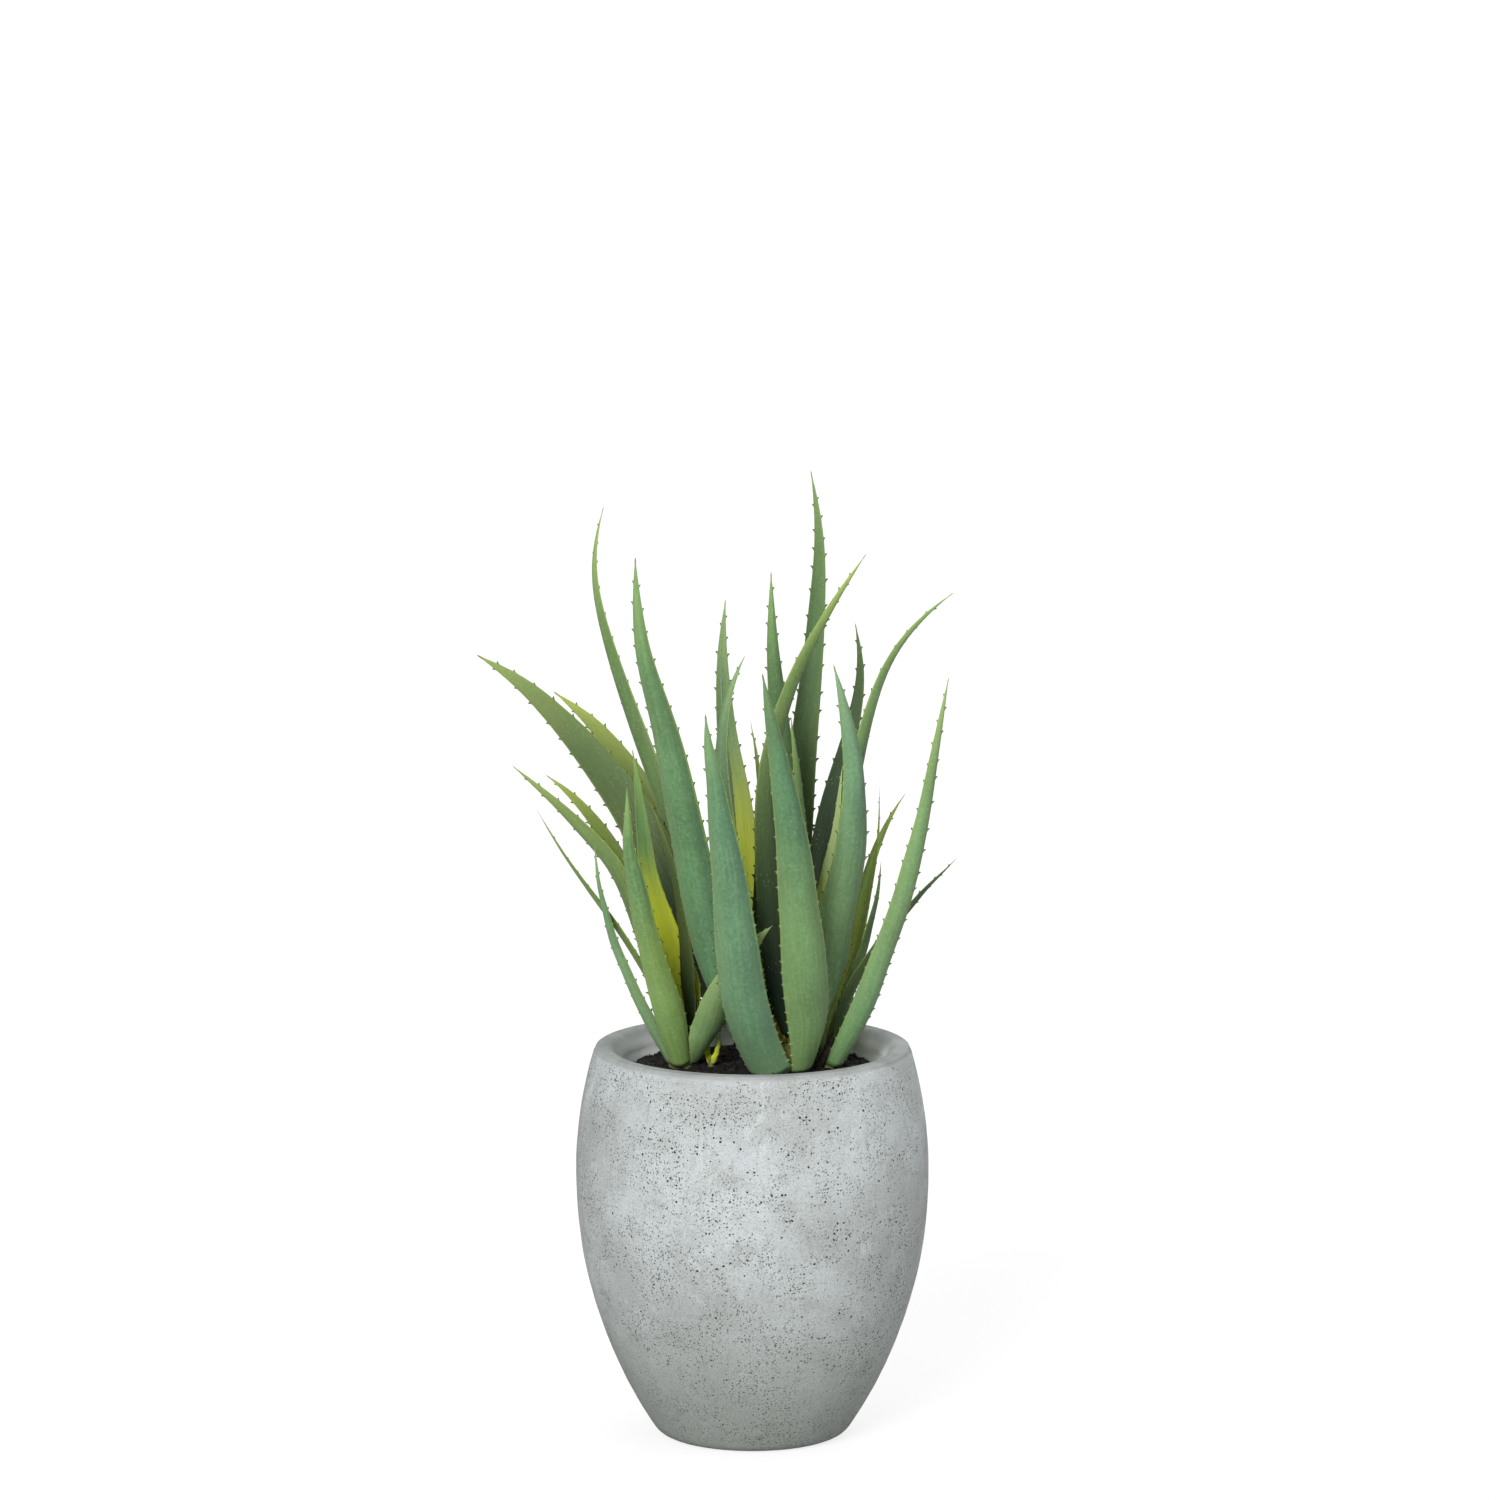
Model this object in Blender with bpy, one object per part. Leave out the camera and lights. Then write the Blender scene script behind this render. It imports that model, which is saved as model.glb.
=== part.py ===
"""Potted aloe: four rosettes of succulent leaves and a small sprout in a tall rounded cement planter.

Units are metres and degrees. +Z is up, the front is -Y, and the origin is the middle of the planter's
underside. Each leaf is one solid that grows from its rosette's stem.
"""

import math
from collections import namedtuple

import bmesh
import bpy
from mathutils import Vector

MM = 0.001

# Planter
PLANTER_HEIGHT = 0.398
BELLY_RADIUS = 0.178
BELLY_HEIGHT = 0.268
RIM_RADIUS = 0.1585
WALL_AT_GROUND = 0.094
FOOT_RADIUS = 0.082
FOOT_ROUNDING = 0.009
FOOT_STEPS = 3
WALL = 0.016
LIP_WIDTH = 0.026
LIP_ROUNDING = 0.008
LIP_ARC = (30, 60, 90)
NECK_UNDERCUT = 0.004
NECK_BOTTOM = 0.360
EDGE_CHAMFER = 0.003
FLOOR_THICKNESS = 0.022
INSIDE_HEIGHTS = (0.07, 0.13, 0.19, 0.25, 0.305, 0.343)
OUTSIDE_HEIGHTS = (0.363, 0.317, BELLY_HEIGHT, 0.22, 0.175, 0.13, 0.09, 0.055, 0.03, FOOT_ROUNDING)
AROUND_STEPS = 56

# Soil
SOIL_DROP = 0.025
SOIL_DOME = 0.004
# The dome's fall: share of the soil's radius, share of SOIL_DOME
DOME_CURVE = ((0.9, 0.7), (0.6, 1.0), (0.0, 1.0))
GAP = 0.0003

# Stems. STEM_DEPTH is how far a stem reaches down, in its own radii. STEM_END and STEM_CAP are how much
# it narrows at its buried end and above its highest leaf, and STEM_CAP_RISE how far that cap stands up.
STEM_DEPTH = 2.5
STEM_END = 0.7
STEM_CAP = 0.5
STEM_CAP_RISE = 0.3
STEM_SIDES = 14

# Leaves: shares of a leaf's length, and thicknesses as shares of half its width
LEAF_STATIONS = (0.0, 0.05, 0.13, 0.24, 0.37, 0.51, 0.65, 0.79, 0.91, 1.0)
STEPS_BETWEEN = 6
BACK_BULGE = 0.44
ROOT_BULGE = 0.60
BULGE_POWER = 0.8
CHANNEL = 0.14
ROOT_CHANNEL = 0.02
ACROSS_BACK = (-1.0, -0.6, 0.0, 0.6, 1.0)
ACROSS_FRONT = (0.55, 0.0, -0.55)
WIDEST_AT = 0.20
TIP_SHARE = 0.04
TIP_FULLNESS = 0.85
TURNED_BY = 0.25

# Dry stub of an old stem, which leans between the mother and the right pup
STUB_FOOT = (0.060, -0.004, 0.0)
STUB_HEAD = (0.080, -0.014, 0.034)
STUB_RADIUS = 0.0042
STUB_TAPER = 0.25
STUB_SAG = 0.003
STUB_RIBS = 6
STUB_RIB_DEPTH = 0.12
STUB_STEPS = 5

# Name, colour and roughness of each finish
FINISHES = (
    ("cement", (0.55, 0.56, 0.55), 0.9),
    ("earth", (0.03, 0.02, 0.015), 1.0),
    ("stem_bark", (0.20, 0.17, 0.10), 0.9),
    ("leaf_skin", (0.18, 0.33, 0.20), 0.5),
    ("dry_stem", (0.04, 0.035, 0.03), 0.9),
)

SOIL_TOP = PLANTER_HEIGHT - SOIL_DROP

# A rosette: a stem at x, y in the soil, its radius there, its radius and height at the top, and its leaves.
Rosette = namedtuple("Rosette", "name x y radius top_radius height leaves")
# around: where on the stem the leaf grows, 0 at +X and -90 at the front.
# up, length, width: millimetres; up is the height of its root above the soil.
# right and back: how far it leans to +X and to +Y, in degrees, at even steps from root to tip.
# face: the way its rounded back faces, on the same compass as around.
# root: its root's width as a share of its width. fall: how late it narrows, 1 for an even taper.
Leaf = namedtuple("Leaf", "around up length width right back face root fall", defaults=(0.45, 1.3))

MOTHER = Rosette("mother", 0.030, -0.008, 0.025, 0.014, 0.042, [
    Leaf(-118, 2, 400, 48, (-25, -10, -5, -10, -5), (-28, -20, -12, -6), -98, 1.0, 1.5),
    Leaf(-40, 2, 440, 47, (10, -5, -5, -10, -10), (-26, -20, -12, -8), -85, 0.6, 1.5),
    Leaf(12, 16, 410, 42, (20, 10, 10, -5, -15), (-10, -8, -6), -70, 0.6, 1.6),
    Leaf(-170, 3, 540, 45, (-25, -15, -10, -15, 0), (-7, -8, -6, -3), -112, 0.6, 1.6),
    Leaf(150, 20, 500, 50, (-45, -30, -25, -35, -45, -60), (25, 15, 8), 105, 0.45, 1.8),
    Leaf(-150, 30, 400, 27, (-10, -10, -10, 0, 25), (-6, -4, -2), -140, 0.6, 2.4),
    Leaf(-60, 34, 510, 29, (-15, -5, 5, 25, 35), (2, 3, 3), -50, 0.6, 1.7),
    Leaf(85, 18, 300, 34, (-20, -5, 0, 0, 0), (5, 5, 4), 85, 0.4),
    Leaf(60, 4, 300, 22, (10, 10, 10, 5), (4, 3, 2), 60, 0.6),
    Leaf(25, 28, 330, 26, (5, 0, 0, -5, -5), (-4, -3, -1), -60, 0.6),
])

BACK = Rosette("back", 0.016, 0.064, 0.022, 0.012, 0.052, [
    Leaf(-145, 3, 578, 36, (-15, -20, -20, -20, -15, 15), (8, 9, 8), -145, 0.6, 1.4),
    Leaf(150, 18, 420, 44, (-40, -25, -20, -35, -55), (30, 24, 16), 110, 0.45, 1.7),
    Leaf(98, 24, 440, 34, (-10, -5, -10, -5, 5), (22, 16, 6), 100, 0.4, 1.7),
    Leaf(170, 26, 400, 16, (-5, -5, -5, -5, 0), (6, 4), 160, 0.6),
    Leaf(-75, 42, 450, 36, (10, 5, -5, -5, 0), (4, 3, 2), -90, 0.5, 1.4),
    Leaf(50, 22, 568, 34, (5, 5, 5, 5, -10), (8, 8, 3), 80, 0.5, 1.6),
    Leaf(-20, 3, 440, 32, (10, 10, 10, 15, -10), (5, 7, 6), 70, 0.6, 1.6),
    Leaf(-65, 3, 510, 30, (25, 15, 10, 20, 55), (0, 4, 8), -35, 0.6, 1.6),
    Leaf(60, 46, 290, 14, (-10, 0, -5, -10), (4, 4), 90, 0.6),
    Leaf(72, 3, 320, 36, (10, 6), (34, 36, 38), 90),
    Leaf(112, 4, 300, 34, (-12, -10), (38, 42, 44), 120),
    Leaf(38, 12, 250, 34, (24, 18), (28, 32, 34), 45),
    Leaf(26, 3, 180, 26, (36, 28), (28, 32, 34), 20),
])

LEFT_PUP = Rosette("left_pup", -0.072, 0.006, 0.013, 0.008, 0.034, [
    Leaf(-88, 2, 310, 31, (-10, -15, -10, 0), (-20, -15, -8), -105, 0.6, 1.5),
    Leaf(-130, 2, 250, 17, (-25, -25, -15, -5), (-14, -10, -6), -130, 0.6),
    Leaf(-150, 14, 290, 16, (0, -25, -35, -35, -30), (-17, -3, 3), -155, 0.6),
    Leaf(154, 4, 350, 28, (0, -15, -25, -45, -50), (-2, 2, 2), -130, 0.4, 1.7),
    Leaf(110, 18, 320, 30, (0, -15, -30, -35, -55), (28, 24, 14), 125, 0.35, 1.7),
    Leaf(95, 28, 300, 29, (20, -20, -15, -5, -10), (-5, -2, 0), 105, 0.4),
    Leaf(18, 12, 260, 22, (0, -5, -5, -15, -20), (-8, -4, 0), 40, 0.6),
    Leaf(-12, 6, 188, 32, (20, 20, 30, 45), (-34, -30, -24, -18), -75, 0.6, 2.2),
    Leaf(80, 2, 200, 26, (-10, -8), (32, 34, 36), 90, 0.6),
])

RIGHT_PUP = Rosette("right_pup", 0.078, 0.004, 0.010, 0.006, 0.020, [
    Leaf(-70, 2, 430, 26, (25, 20, 15, 10, 10), (-22, -14, -8, -2), -65, 0.7, 1.5),
    Leaf(-25, 3, 250, 18, (-5, 25, 40, 45), (-6, -6, 0), -40, 0.6),
    Leaf(60, 5, 280, 22, (10, 10, 15, 35), (20, 16), 45, 0.6, 1.6),
    Leaf(112, 14, 270, 12, (20, 15, 10, 0), (16, 12), 30, 0.6),
    Leaf(32, 12, 200, 18, (0, 20, 15, 5), (0, 0), -40, 0.6),
    Leaf(130, 3, 240, 26, (4, 4), (36, 38, 38), 90, 0.6),
])

SPROUT = Rosette("sprout", -0.042, 0.003, 0.003, 0.002, 0.006, [
    Leaf(120, 2, 26, 7, (-10, 5), (0, 0), 120, 0.6),
    Leaf(-40, 2, 34, 9, (20, 5), (-12, -5), -50, 0.6),
])

ROSETTES = (MOTHER, BACK, LEFT_PUP, RIGHT_PUP, SPROUT)


def material(name, colour, roughness):
    made = bpy.data.materials.new(name)
    made.use_nodes = True
    shader = made.node_tree.nodes["Principled BSDF"]
    shader.inputs["Base Color"].default_value = (*colour, 1.0)
    shader.inputs["Roughness"].default_value = roughness
    shader.inputs["Metallic"].default_value = 0.0
    return made


def add_object(name, mesh, finish):
    thing = bpy.data.objects.new(name, mesh)
    thing.data.materials.append(finish)
    bpy.context.scene.collection.objects.link(thing)
    return thing


def compass(degrees):
    """The level direction at this angle, 0 at +X and 90 at +Y."""
    return Vector((math.cos(math.radians(degrees)), math.sin(math.radians(degrees)), 0.0))


def along(values, share):
    """The value at this share of the way through a list, on a smooth curve through its entries."""
    last = len(values) - 1
    at = min(share * last, last - 1e-9)
    k = int(at)
    before, start, end, after = (values[min(max(k + j, 0), last)] for j in (-1, 0, 1, 2))
    t = at - k
    cubic = 3 * (start - end) + after - before
    return start + 0.5 * t * (end - before + t * (2 * before - 5 * start + 4 * end - after + t * cubic))


def heading(leaf, share):
    """The way a leaf grows at this share of its length."""
    right = math.tan(math.radians(along(leaf.right, share)))
    back = math.tan(math.radians(along(leaf.back, share)))
    return Vector((right, back, 1.0)).normalized()


def spine(rosette, leaf):
    """The leaf's centreline at each station."""
    reach = rosette.radius + (rosette.top_radius - rosette.radius) * leaf.up * MM / rosette.height
    point = Vector((rosette.x, rosette.y, SOIL_TOP + SOIL_DOME + leaf.up * MM))
    point += compass(leaf.around) * (reach + 2 * GAP)
    points = [point.copy()]
    for start, end in zip(LEAF_STATIONS, LEAF_STATIONS[1:]):
        for k in range(STEPS_BETWEEN):
            share = start + (end - start) * (k + 0.5) / STEPS_BETWEEN
            point += heading(leaf, share) * (leaf.length * MM * (end - start) / STEPS_BETWEEN)
        points.append(point.copy())
    return points


def half_width(leaf, share):
    """Half the leaf's width: a narrow root, then the widest stretch, then a taper to the tip."""
    swell = math.sin(math.pi / 2 * min(share / WIDEST_AT, 1.0))
    shape = leaf.root + (1.0 - leaf.root) * swell
    if share > WIDEST_AT:
        shape = (1.0 - ((share - WIDEST_AT) / (1.0 - WIDEST_AT)) ** leaf.fall) ** TIP_FULLNESS
    return leaf.width * MM / 2 * max(shape, TIP_SHARE)


def facing(leaf, share):
    """The way the rounded back faces: away from the stem at the root, then the leaf's own way."""
    turn = (leaf.face - leaf.around + 180) % 360 - 180
    return leaf.around + turn * min(share / TURNED_BY, 1.0)


def leaf_section(leaf, centre, share):
    """A crescent: a rounded back, thin edges and a shallow channel on the front."""
    heading_now = heading(leaf, share)
    half = half_width(leaf, share)
    outward = compass(facing(leaf, share))
    outward = (outward - heading_now * outward.dot(heading_now)).normalized()
    side = heading_now.cross(outward)
    near_root = max(0.0, 1.0 - share / WIDEST_AT)
    bulge = half * (BACK_BULGE + (ROOT_BULGE - BACK_BULGE) * near_root)
    channel = half * (CHANNEL + (ROOT_CHANNEL - CHANNEL) * near_root)
    back = [(across, bulge * (1 - across**2) ** BULGE_POWER) for across in ACROSS_BACK]
    front = [(across, channel * (1 - across**2)) for across in ACROSS_FRONT]
    ring = [centre + side * (across * half) + outward * depth for across, depth in back + front]
    if share == 0.0:
        ring = [point + heading_now * ((centre.z - point.z) / heading_now.z) for point in ring]
    return ring


def loft(rings):
    """A closed mesh through rings that have the same number of points."""
    shape = bmesh.new()
    loops = [[shape.verts.new(point) for point in ring] for ring in rings]
    for lower, upper in zip(loops, loops[1:]):
        for k in range(len(lower)):
            n = (k + 1) % len(lower)
            shape.faces.new((lower[k], lower[n], upper[n], upper[k]))
    shape.faces.new(loops[0])
    shape.faces.new(loops[-1])
    bmesh.ops.recalc_face_normals(shape, faces=shape.faces)
    mesh = bpy.data.meshes.new("loft")
    shape.to_mesh(mesh)
    shape.free()
    return mesh


def add_leaf(rosette, leaf, name, finish):
    points = spine(rosette, leaf)
    rings = [leaf_section(leaf, point, share) for point, share in zip(points, LEAF_STATIONS)]
    thing = add_object(name, loft(rings), finish)
    thing.data.shade_smooth()
    return thing


def add_stem(rosette, finish):
    """A tapered stem that reaches down into the soil."""
    depth = STEM_DEPTH * rosette.radius
    levels = (
        (-depth, rosette.radius * STEM_END),
        (-depth / 2, rosette.radius),
        (0.0, rosette.radius),
        (rosette.height, rosette.top_radius),
        (rosette.height + rosette.top_radius * STEM_CAP_RISE, rosette.top_radius * STEM_CAP),
    )
    centre = Vector((rosette.x, rosette.y, SOIL_TOP + SOIL_DOME))
    rings = [
        [centre + Vector((0, 0, z)) + compass(360 * k / STEM_SIDES) * r for k in range(STEM_SIDES)]
        for z, r in levels
    ]
    thing = add_object(rosette.name + "_stem", loft(rings), finish)
    thing.data.shade_smooth()
    return thing


def add_stub(finish):
    """A ribbed dry stem stub, cut level just above the soil."""
    foot, head = Vector(STUB_FOOT), Vector(STUB_HEAD)
    base = Vector((0, 0, SOIL_TOP + SOIL_DOME + 2 * GAP))
    axis = (head - foot).normalized()
    side = axis.cross(Vector((0, 0, 1))).normalized()
    upper = side.cross(axis)
    rings = []
    for step in range(STUB_STEPS + 1):
        share = step / STUB_STEPS
        centre = base + foot.lerp(head, share) - upper * (STUB_SAG * math.sin(math.pi * share))
        ring = []
        for k in range(2 * STUB_RIBS):
            angle = math.pi * k / STUB_RIBS
            reach = STUB_RADIUS * (1 - STUB_TAPER * share) * (1 - STUB_RIB_DEPTH * (k % 2))
            ring.append(centre + side * (reach * math.cos(angle)) + upper * (reach * math.sin(angle)))
        if step == 0:
            ring = [point + axis * ((centre.z - point.z) / axis.z) for point in ring]
        rings.append(ring)
    return add_object("dry_stub", loft(rings), finish)


def arc_radius(height, inset=0.0):
    """The planter's outer radius at a height, less an inset: one arc above the belly and one below."""
    if height > BELLY_HEIGHT:
        rise, drop = PLANTER_HEIGHT - BELLY_HEIGHT, BELLY_RADIUS - RIM_RADIUS
    else:
        rise, drop = BELLY_HEIGHT, BELLY_RADIUS - WALL_AT_GROUND
    radius = (rise**2 + drop**2) / (2 * drop)
    return BELLY_RADIUS - radius + math.sqrt(radius**2 - (height - BELLY_HEIGHT) ** 2) - inset


def turned(name, profile, finish, steps=AROUND_STEPS):
    """A solid turned round Z from a profile of (radius, height) that starts and ends on the axis."""
    mesh = bpy.data.meshes.new(name)
    edges = [(k, k + 1) for k in range(len(profile) - 1)]
    mesh.from_pydata([(r, 0.0, z) for r, z in profile], edges, [])
    thing = add_object(name, mesh, finish)
    screw = thing.modifiers.new("Turn", "SCREW")
    screw.steps = screw.render_steps = steps
    screw.use_merge_vertices = True
    screw.merge_threshold = 0.00001
    screw.use_smooth_shade = True
    return thing


def cavity_profile():
    """The planter's inside, from the edge of its floor up to the soil's level."""
    heights = (FLOOR_THICKNESS, *INSIDE_HEIGHTS)
    neck = RIM_RADIUS - LIP_WIDTH - NECK_UNDERCUT
    wall = [(arc_radius(height, WALL), height) for height in heights]
    return wall + [(neck, NECK_BOTTOM), (neck, SOIL_TOP)]


def foot_curve():
    """The foot's rounding: it leaves the wall in line with it and runs into the flat underside."""
    points = []
    for step in range(1, FOOT_STEPS + 1):
        down = step / FOOT_STEPS
        left = 1 - down
        radius = left**2 * arc_radius(FOOT_ROUNDING) + 2 * left * down * WALL_AT_GROUND
        points.append((radius + down**2 * FOOT_RADIUS, left**2 * FOOT_ROUNDING))
    return points


def planter_profile():
    """From the axis at the top of the inner floor, up the inside, over the rim and down the outside."""
    neck = RIM_RADIUS - LIP_WIDTH
    low = PLANTER_HEIGHT - LIP_ROUNDING
    lip = [(neck, low)]
    for degrees in LIP_ARC:
        angle = math.radians(degrees)
        lip.append((neck + LIP_ROUNDING * (1 - math.cos(angle)), low + LIP_ROUNDING * math.sin(angle)))
    edge = [(RIM_RADIUS - EDGE_CHAMFER, PLANTER_HEIGHT), (RIM_RADIUS, PLANTER_HEIGHT - EDGE_CHAMFER)]
    outside = [(arc_radius(height), height) for height in OUTSIDE_HEIGHTS]
    return [(0.0, FLOOR_THICKNESS)] + cavity_profile() + lip + edge + outside + foot_curve() + [(0.0, 0.0)]


def soil_profile():
    """The planter's inside, less a gap, up to a slightly domed top."""
    side = [(r - 2 * GAP, z + GAP) for r, z in cavity_profile()[:-1]]
    rim = side[-1][0]
    dome = [(rim * share, SOIL_TOP + SOIL_DOME * rise) for share, rise in DOME_CURVE]
    return [(0.0, side[0][1])] + side + [(rim, SOIL_TOP)] + dome


def add_soil(finish):
    """The soil, with a hole for each stem."""
    soil = turned("soil", soil_profile(), finish)
    for rosette in ROSETTES:
        bpy.ops.mesh.primitive_cylinder_add(
            vertices=STEM_SIDES,
            radius=rosette.radius + 3 * GAP,
            depth=2 * STEM_DEPTH * rosette.radius + 4 * GAP,
            location=(rosette.x, rosette.y, SOIL_TOP + SOIL_DOME),
            rotation=(0, 0, math.pi / 2),
        )
        hole = bpy.context.object
        hole.name = rosette.name + "_hole"
        hole.hide_render = True
        hole.display_type = "WIRE"
        cut = soil.modifiers.new(hole.name, "BOOLEAN")
        cut.operation = "DIFFERENCE"
        cut.object = hole
    return soil


def main():
    for thing in list(bpy.data.objects):
        bpy.data.objects.remove(thing)
    cement, earth, bark, skin, dry = (material(*finish) for finish in FINISHES)
    add_stub(dry)
    turned("planter", planter_profile(), cement)
    add_soil(earth)
    for rosette in ROSETTES:
        add_stem(rosette, bark)
        for number, leaf in enumerate(rosette.leaves, 1):
            add_leaf(rosette, leaf, f"{rosette.name}_leaf_{number:02d}", skin)


main()
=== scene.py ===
# %% [markdown]
# # Potted aloe
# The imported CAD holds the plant's true sizes: a planter, soil, five short stems, a dry stub and 40 leaves.
# Each cell below takes one of those pieces, builds the surface that the eye sees in the space that the CAD
# gives it, and paints it with a procedural finish. The first cell loads the CAD and keeps its box.

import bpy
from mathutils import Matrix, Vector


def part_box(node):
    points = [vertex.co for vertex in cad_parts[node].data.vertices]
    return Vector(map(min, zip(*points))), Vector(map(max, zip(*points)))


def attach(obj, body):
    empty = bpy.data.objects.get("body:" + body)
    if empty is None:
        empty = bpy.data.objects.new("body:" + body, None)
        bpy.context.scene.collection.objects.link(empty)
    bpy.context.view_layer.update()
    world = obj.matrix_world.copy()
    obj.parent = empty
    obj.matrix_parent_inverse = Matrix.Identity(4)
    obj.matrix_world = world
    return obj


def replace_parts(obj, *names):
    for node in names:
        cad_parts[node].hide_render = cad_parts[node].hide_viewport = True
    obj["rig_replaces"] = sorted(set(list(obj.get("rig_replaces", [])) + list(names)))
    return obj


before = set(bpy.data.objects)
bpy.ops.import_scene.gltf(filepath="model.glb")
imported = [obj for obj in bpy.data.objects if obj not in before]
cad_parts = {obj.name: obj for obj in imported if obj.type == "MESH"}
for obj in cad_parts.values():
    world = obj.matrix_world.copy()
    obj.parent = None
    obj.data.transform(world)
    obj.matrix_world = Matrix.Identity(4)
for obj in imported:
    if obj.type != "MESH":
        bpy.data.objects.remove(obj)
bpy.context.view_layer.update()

import math
import random
from collections import namedtuple
from itertools import combinations

import bpy
import numpy as np
from mathutils import Vector, noise

MM = 0.001

# %% [markdown]
# ## Writing finishes as sums
# A finish is a net of nodes. Wiring it by hand hides the idea, so a socket is wrapped in a class whose
# operators add Math nodes: `1 - mask * 0.5` reads as it is meant. Colours are never put through Math nodes,
# which would turn them grey. They go through Mix nodes, with a mask that says how much of each shows.

# %% A socket that can be used in sums
class Wire:
    """One output of a node. Sums of wires and numbers add Math nodes."""

    def __init__(self, finish, socket):
        self.finish, self.socket = finish, socket

    def math(self, operation, *values):
        inputs = dict(enumerate(values))
        return self.finish.node("Math", {"operation": operation}, inputs)

    def __add__(self, other):
        return self.math("ADD", self, other)

    def __sub__(self, other):
        return self.math("SUBTRACT", self, other)

    def __rsub__(self, other):
        return self.math("SUBTRACT", other, self)

    def __mul__(self, other):
        return self.math("MULTIPLY", self, other)

    __radd__, __rmul__ = __add__, __mul__

    def most(self, other):
        return self.math("MAXIMUM", self, other)

    def between(self, low, high):
        """0 at low and less, 1 at high and more, and a smooth rise from one to the other."""
        settings = {"interpolation_type": "SMOOTHSTEP"}
        inputs = {"Value": self, "From Min": low, "From Max": high}
        return self.finish.node("MapRange", settings, inputs)

    def choose(self, colour_at_0, colour_at_1):
        """One colour where this mask is 0, another where it is 1."""
        inputs = {0: self, 6: colour_at_0, 7: colour_at_1}
        return self.finish.node("Mix", {"data_type": "RGBA"}, inputs, 2)


print("operators that add Math nodes: + - *, and their reflected forms")

# %% A finish, and the one method that adds its nodes
DARK_KNEE = 0.04045


def paint(red, green, blue):
    """A colour given on a 0 to 255 scale, as the linear colour that a shader takes."""
    shares = [c / 255 for c in (red, green, blue)]
    linear = [(c / 12.92 if c <= DARK_KNEE else ((c + 0.055) / 1.055) ** 2.4) for c in shares]
    return (*linear, 1.0)


class Finish:
    """A material being made, or the world."""

    def __init__(self, name, kind="materials", shader="Principled BSDF"):
        self.made = getattr(bpy.data, kind).new(name)
        self.made.use_nodes = True
        self.tree = self.made.node_tree
        self.shader = self.tree.nodes[shader]

    def plug(self, socket, value):
        if isinstance(value, Wire):
            self.tree.links.new(value.socket, socket)
        else:
            socket.default_value = value

    def node(self, kind, settings, inputs, output=0):
        made = self.tree.nodes.new("ShaderNode" + kind)
        for name, value in settings.items():
            setattr(made, name, value)
        for name, value in inputs.items():
            self.plug(made.inputs[name], value)
        return Wire(self, made.outputs[output])

    def shade(self, **sockets):
        """Sets the shader's own sockets, named with _ for a space."""
        for name, value in sockets.items():
            self.plug(self.shader.inputs[name.replace("_", " ")], value)

    def done(self):
        print(f"{self.made.name}: {len(self.tree.nodes)} nodes")
        return self.made

    def value(self, name):
        """A number that each point of the mesh carries."""
        return self.node("Attribute", {"attribute_name": name}, {}, "Fac")

    def place(self):
        """Where a point is on the object, in metres."""
        return self.node("TexCoord", {}, {}, "Object")

    def stretch(self, vector, by):
        return self.node("VectorMath", {"operation": "MULTIPLY"}, {0: vector, 1: by})

    def cloud(self, vector, scale, detail=3.0, roughness=0.5):
        """Soft random patches, 0 to 1, this many to a metre."""
        inputs = {"Vector": vector, "Scale": scale, "Detail": detail, "Roughness": roughness}
        return self.node("TexNoise", {}, inputs)

    def drift(self, vector, scale):
        """A random direction that changes slowly, for bending another pattern out of true."""
        colour = self.node("TexNoise", {}, {"Vector": vector, "Scale": scale, "Detail": 1.0}, "Color")
        return self.node("VectorMath", {"operation": "SUBTRACT"}, {0: colour, 1: (0.5, 0.5, 0.5)})

    def cells(self, vector, scale):
        """The distance to the nearest of random points, this many to a metre."""
        return self.node("TexVoronoi", {}, {"Vector": vector, "Scale": scale}, "Distance")

    def relief(self, height, metres, under=None):
        """A normal that makes the light see this height, 0 to 1 of so many metres."""
        inputs = {"Height": height, "Distance": metres, "Strength": 1.0}
        if under is not None:
            inputs["Normal"] = under
        return self.node("Bump", {}, inputs)


# %% [markdown]
# ## From points to a piece
# Every surface here is worked out as rings or a grid of points, because a leaf, a stem and a planter all have
# a section that changes slowly along a line. One helper turns points and faces into an object, gives each
# point the numbers that its finish reads and gives the object that finish, and ties the object to the CAD:
# the body it rides on and the nodes it stands for.

# %% Make a piece
def make_piece(name, points, faces, finish, stands_for, values=None):
    mesh = bpy.data.meshes.new(name)
    mesh.from_pydata([tuple(p) for p in points], [], faces)
    for label, numbers in (values or {}).items():
        attribute = mesh.attributes.new(label, "FLOAT", "POINT")
        attribute.data.foreach_set("value", np.asarray(numbers, np.float32))
    mesh.materials.append(finish)
    mesh.shade_smooth()
    piece = bpy.data.objects.new(name, mesh)
    bpy.context.scene.collection.objects.link(piece)
    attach(piece, "root")
    if stands_for:
        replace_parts(piece, *stands_for)
    return piece


def rings_to_faces(count, around):
    """Quads between rings of points, and a cap at each end."""
    faces = []
    for ring in range(count - 1):
        low, high = ring * around, (ring + 1) * around
        for k in range(around):
            n = (k + 1) % around
            faces.append((low + k, low + n, high + n, high + k))
    faces.append(tuple(reversed(range(around))))
    last = (count - 1) * around
    faces.append(tuple(range(last, last + around)))
    return faces
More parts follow.
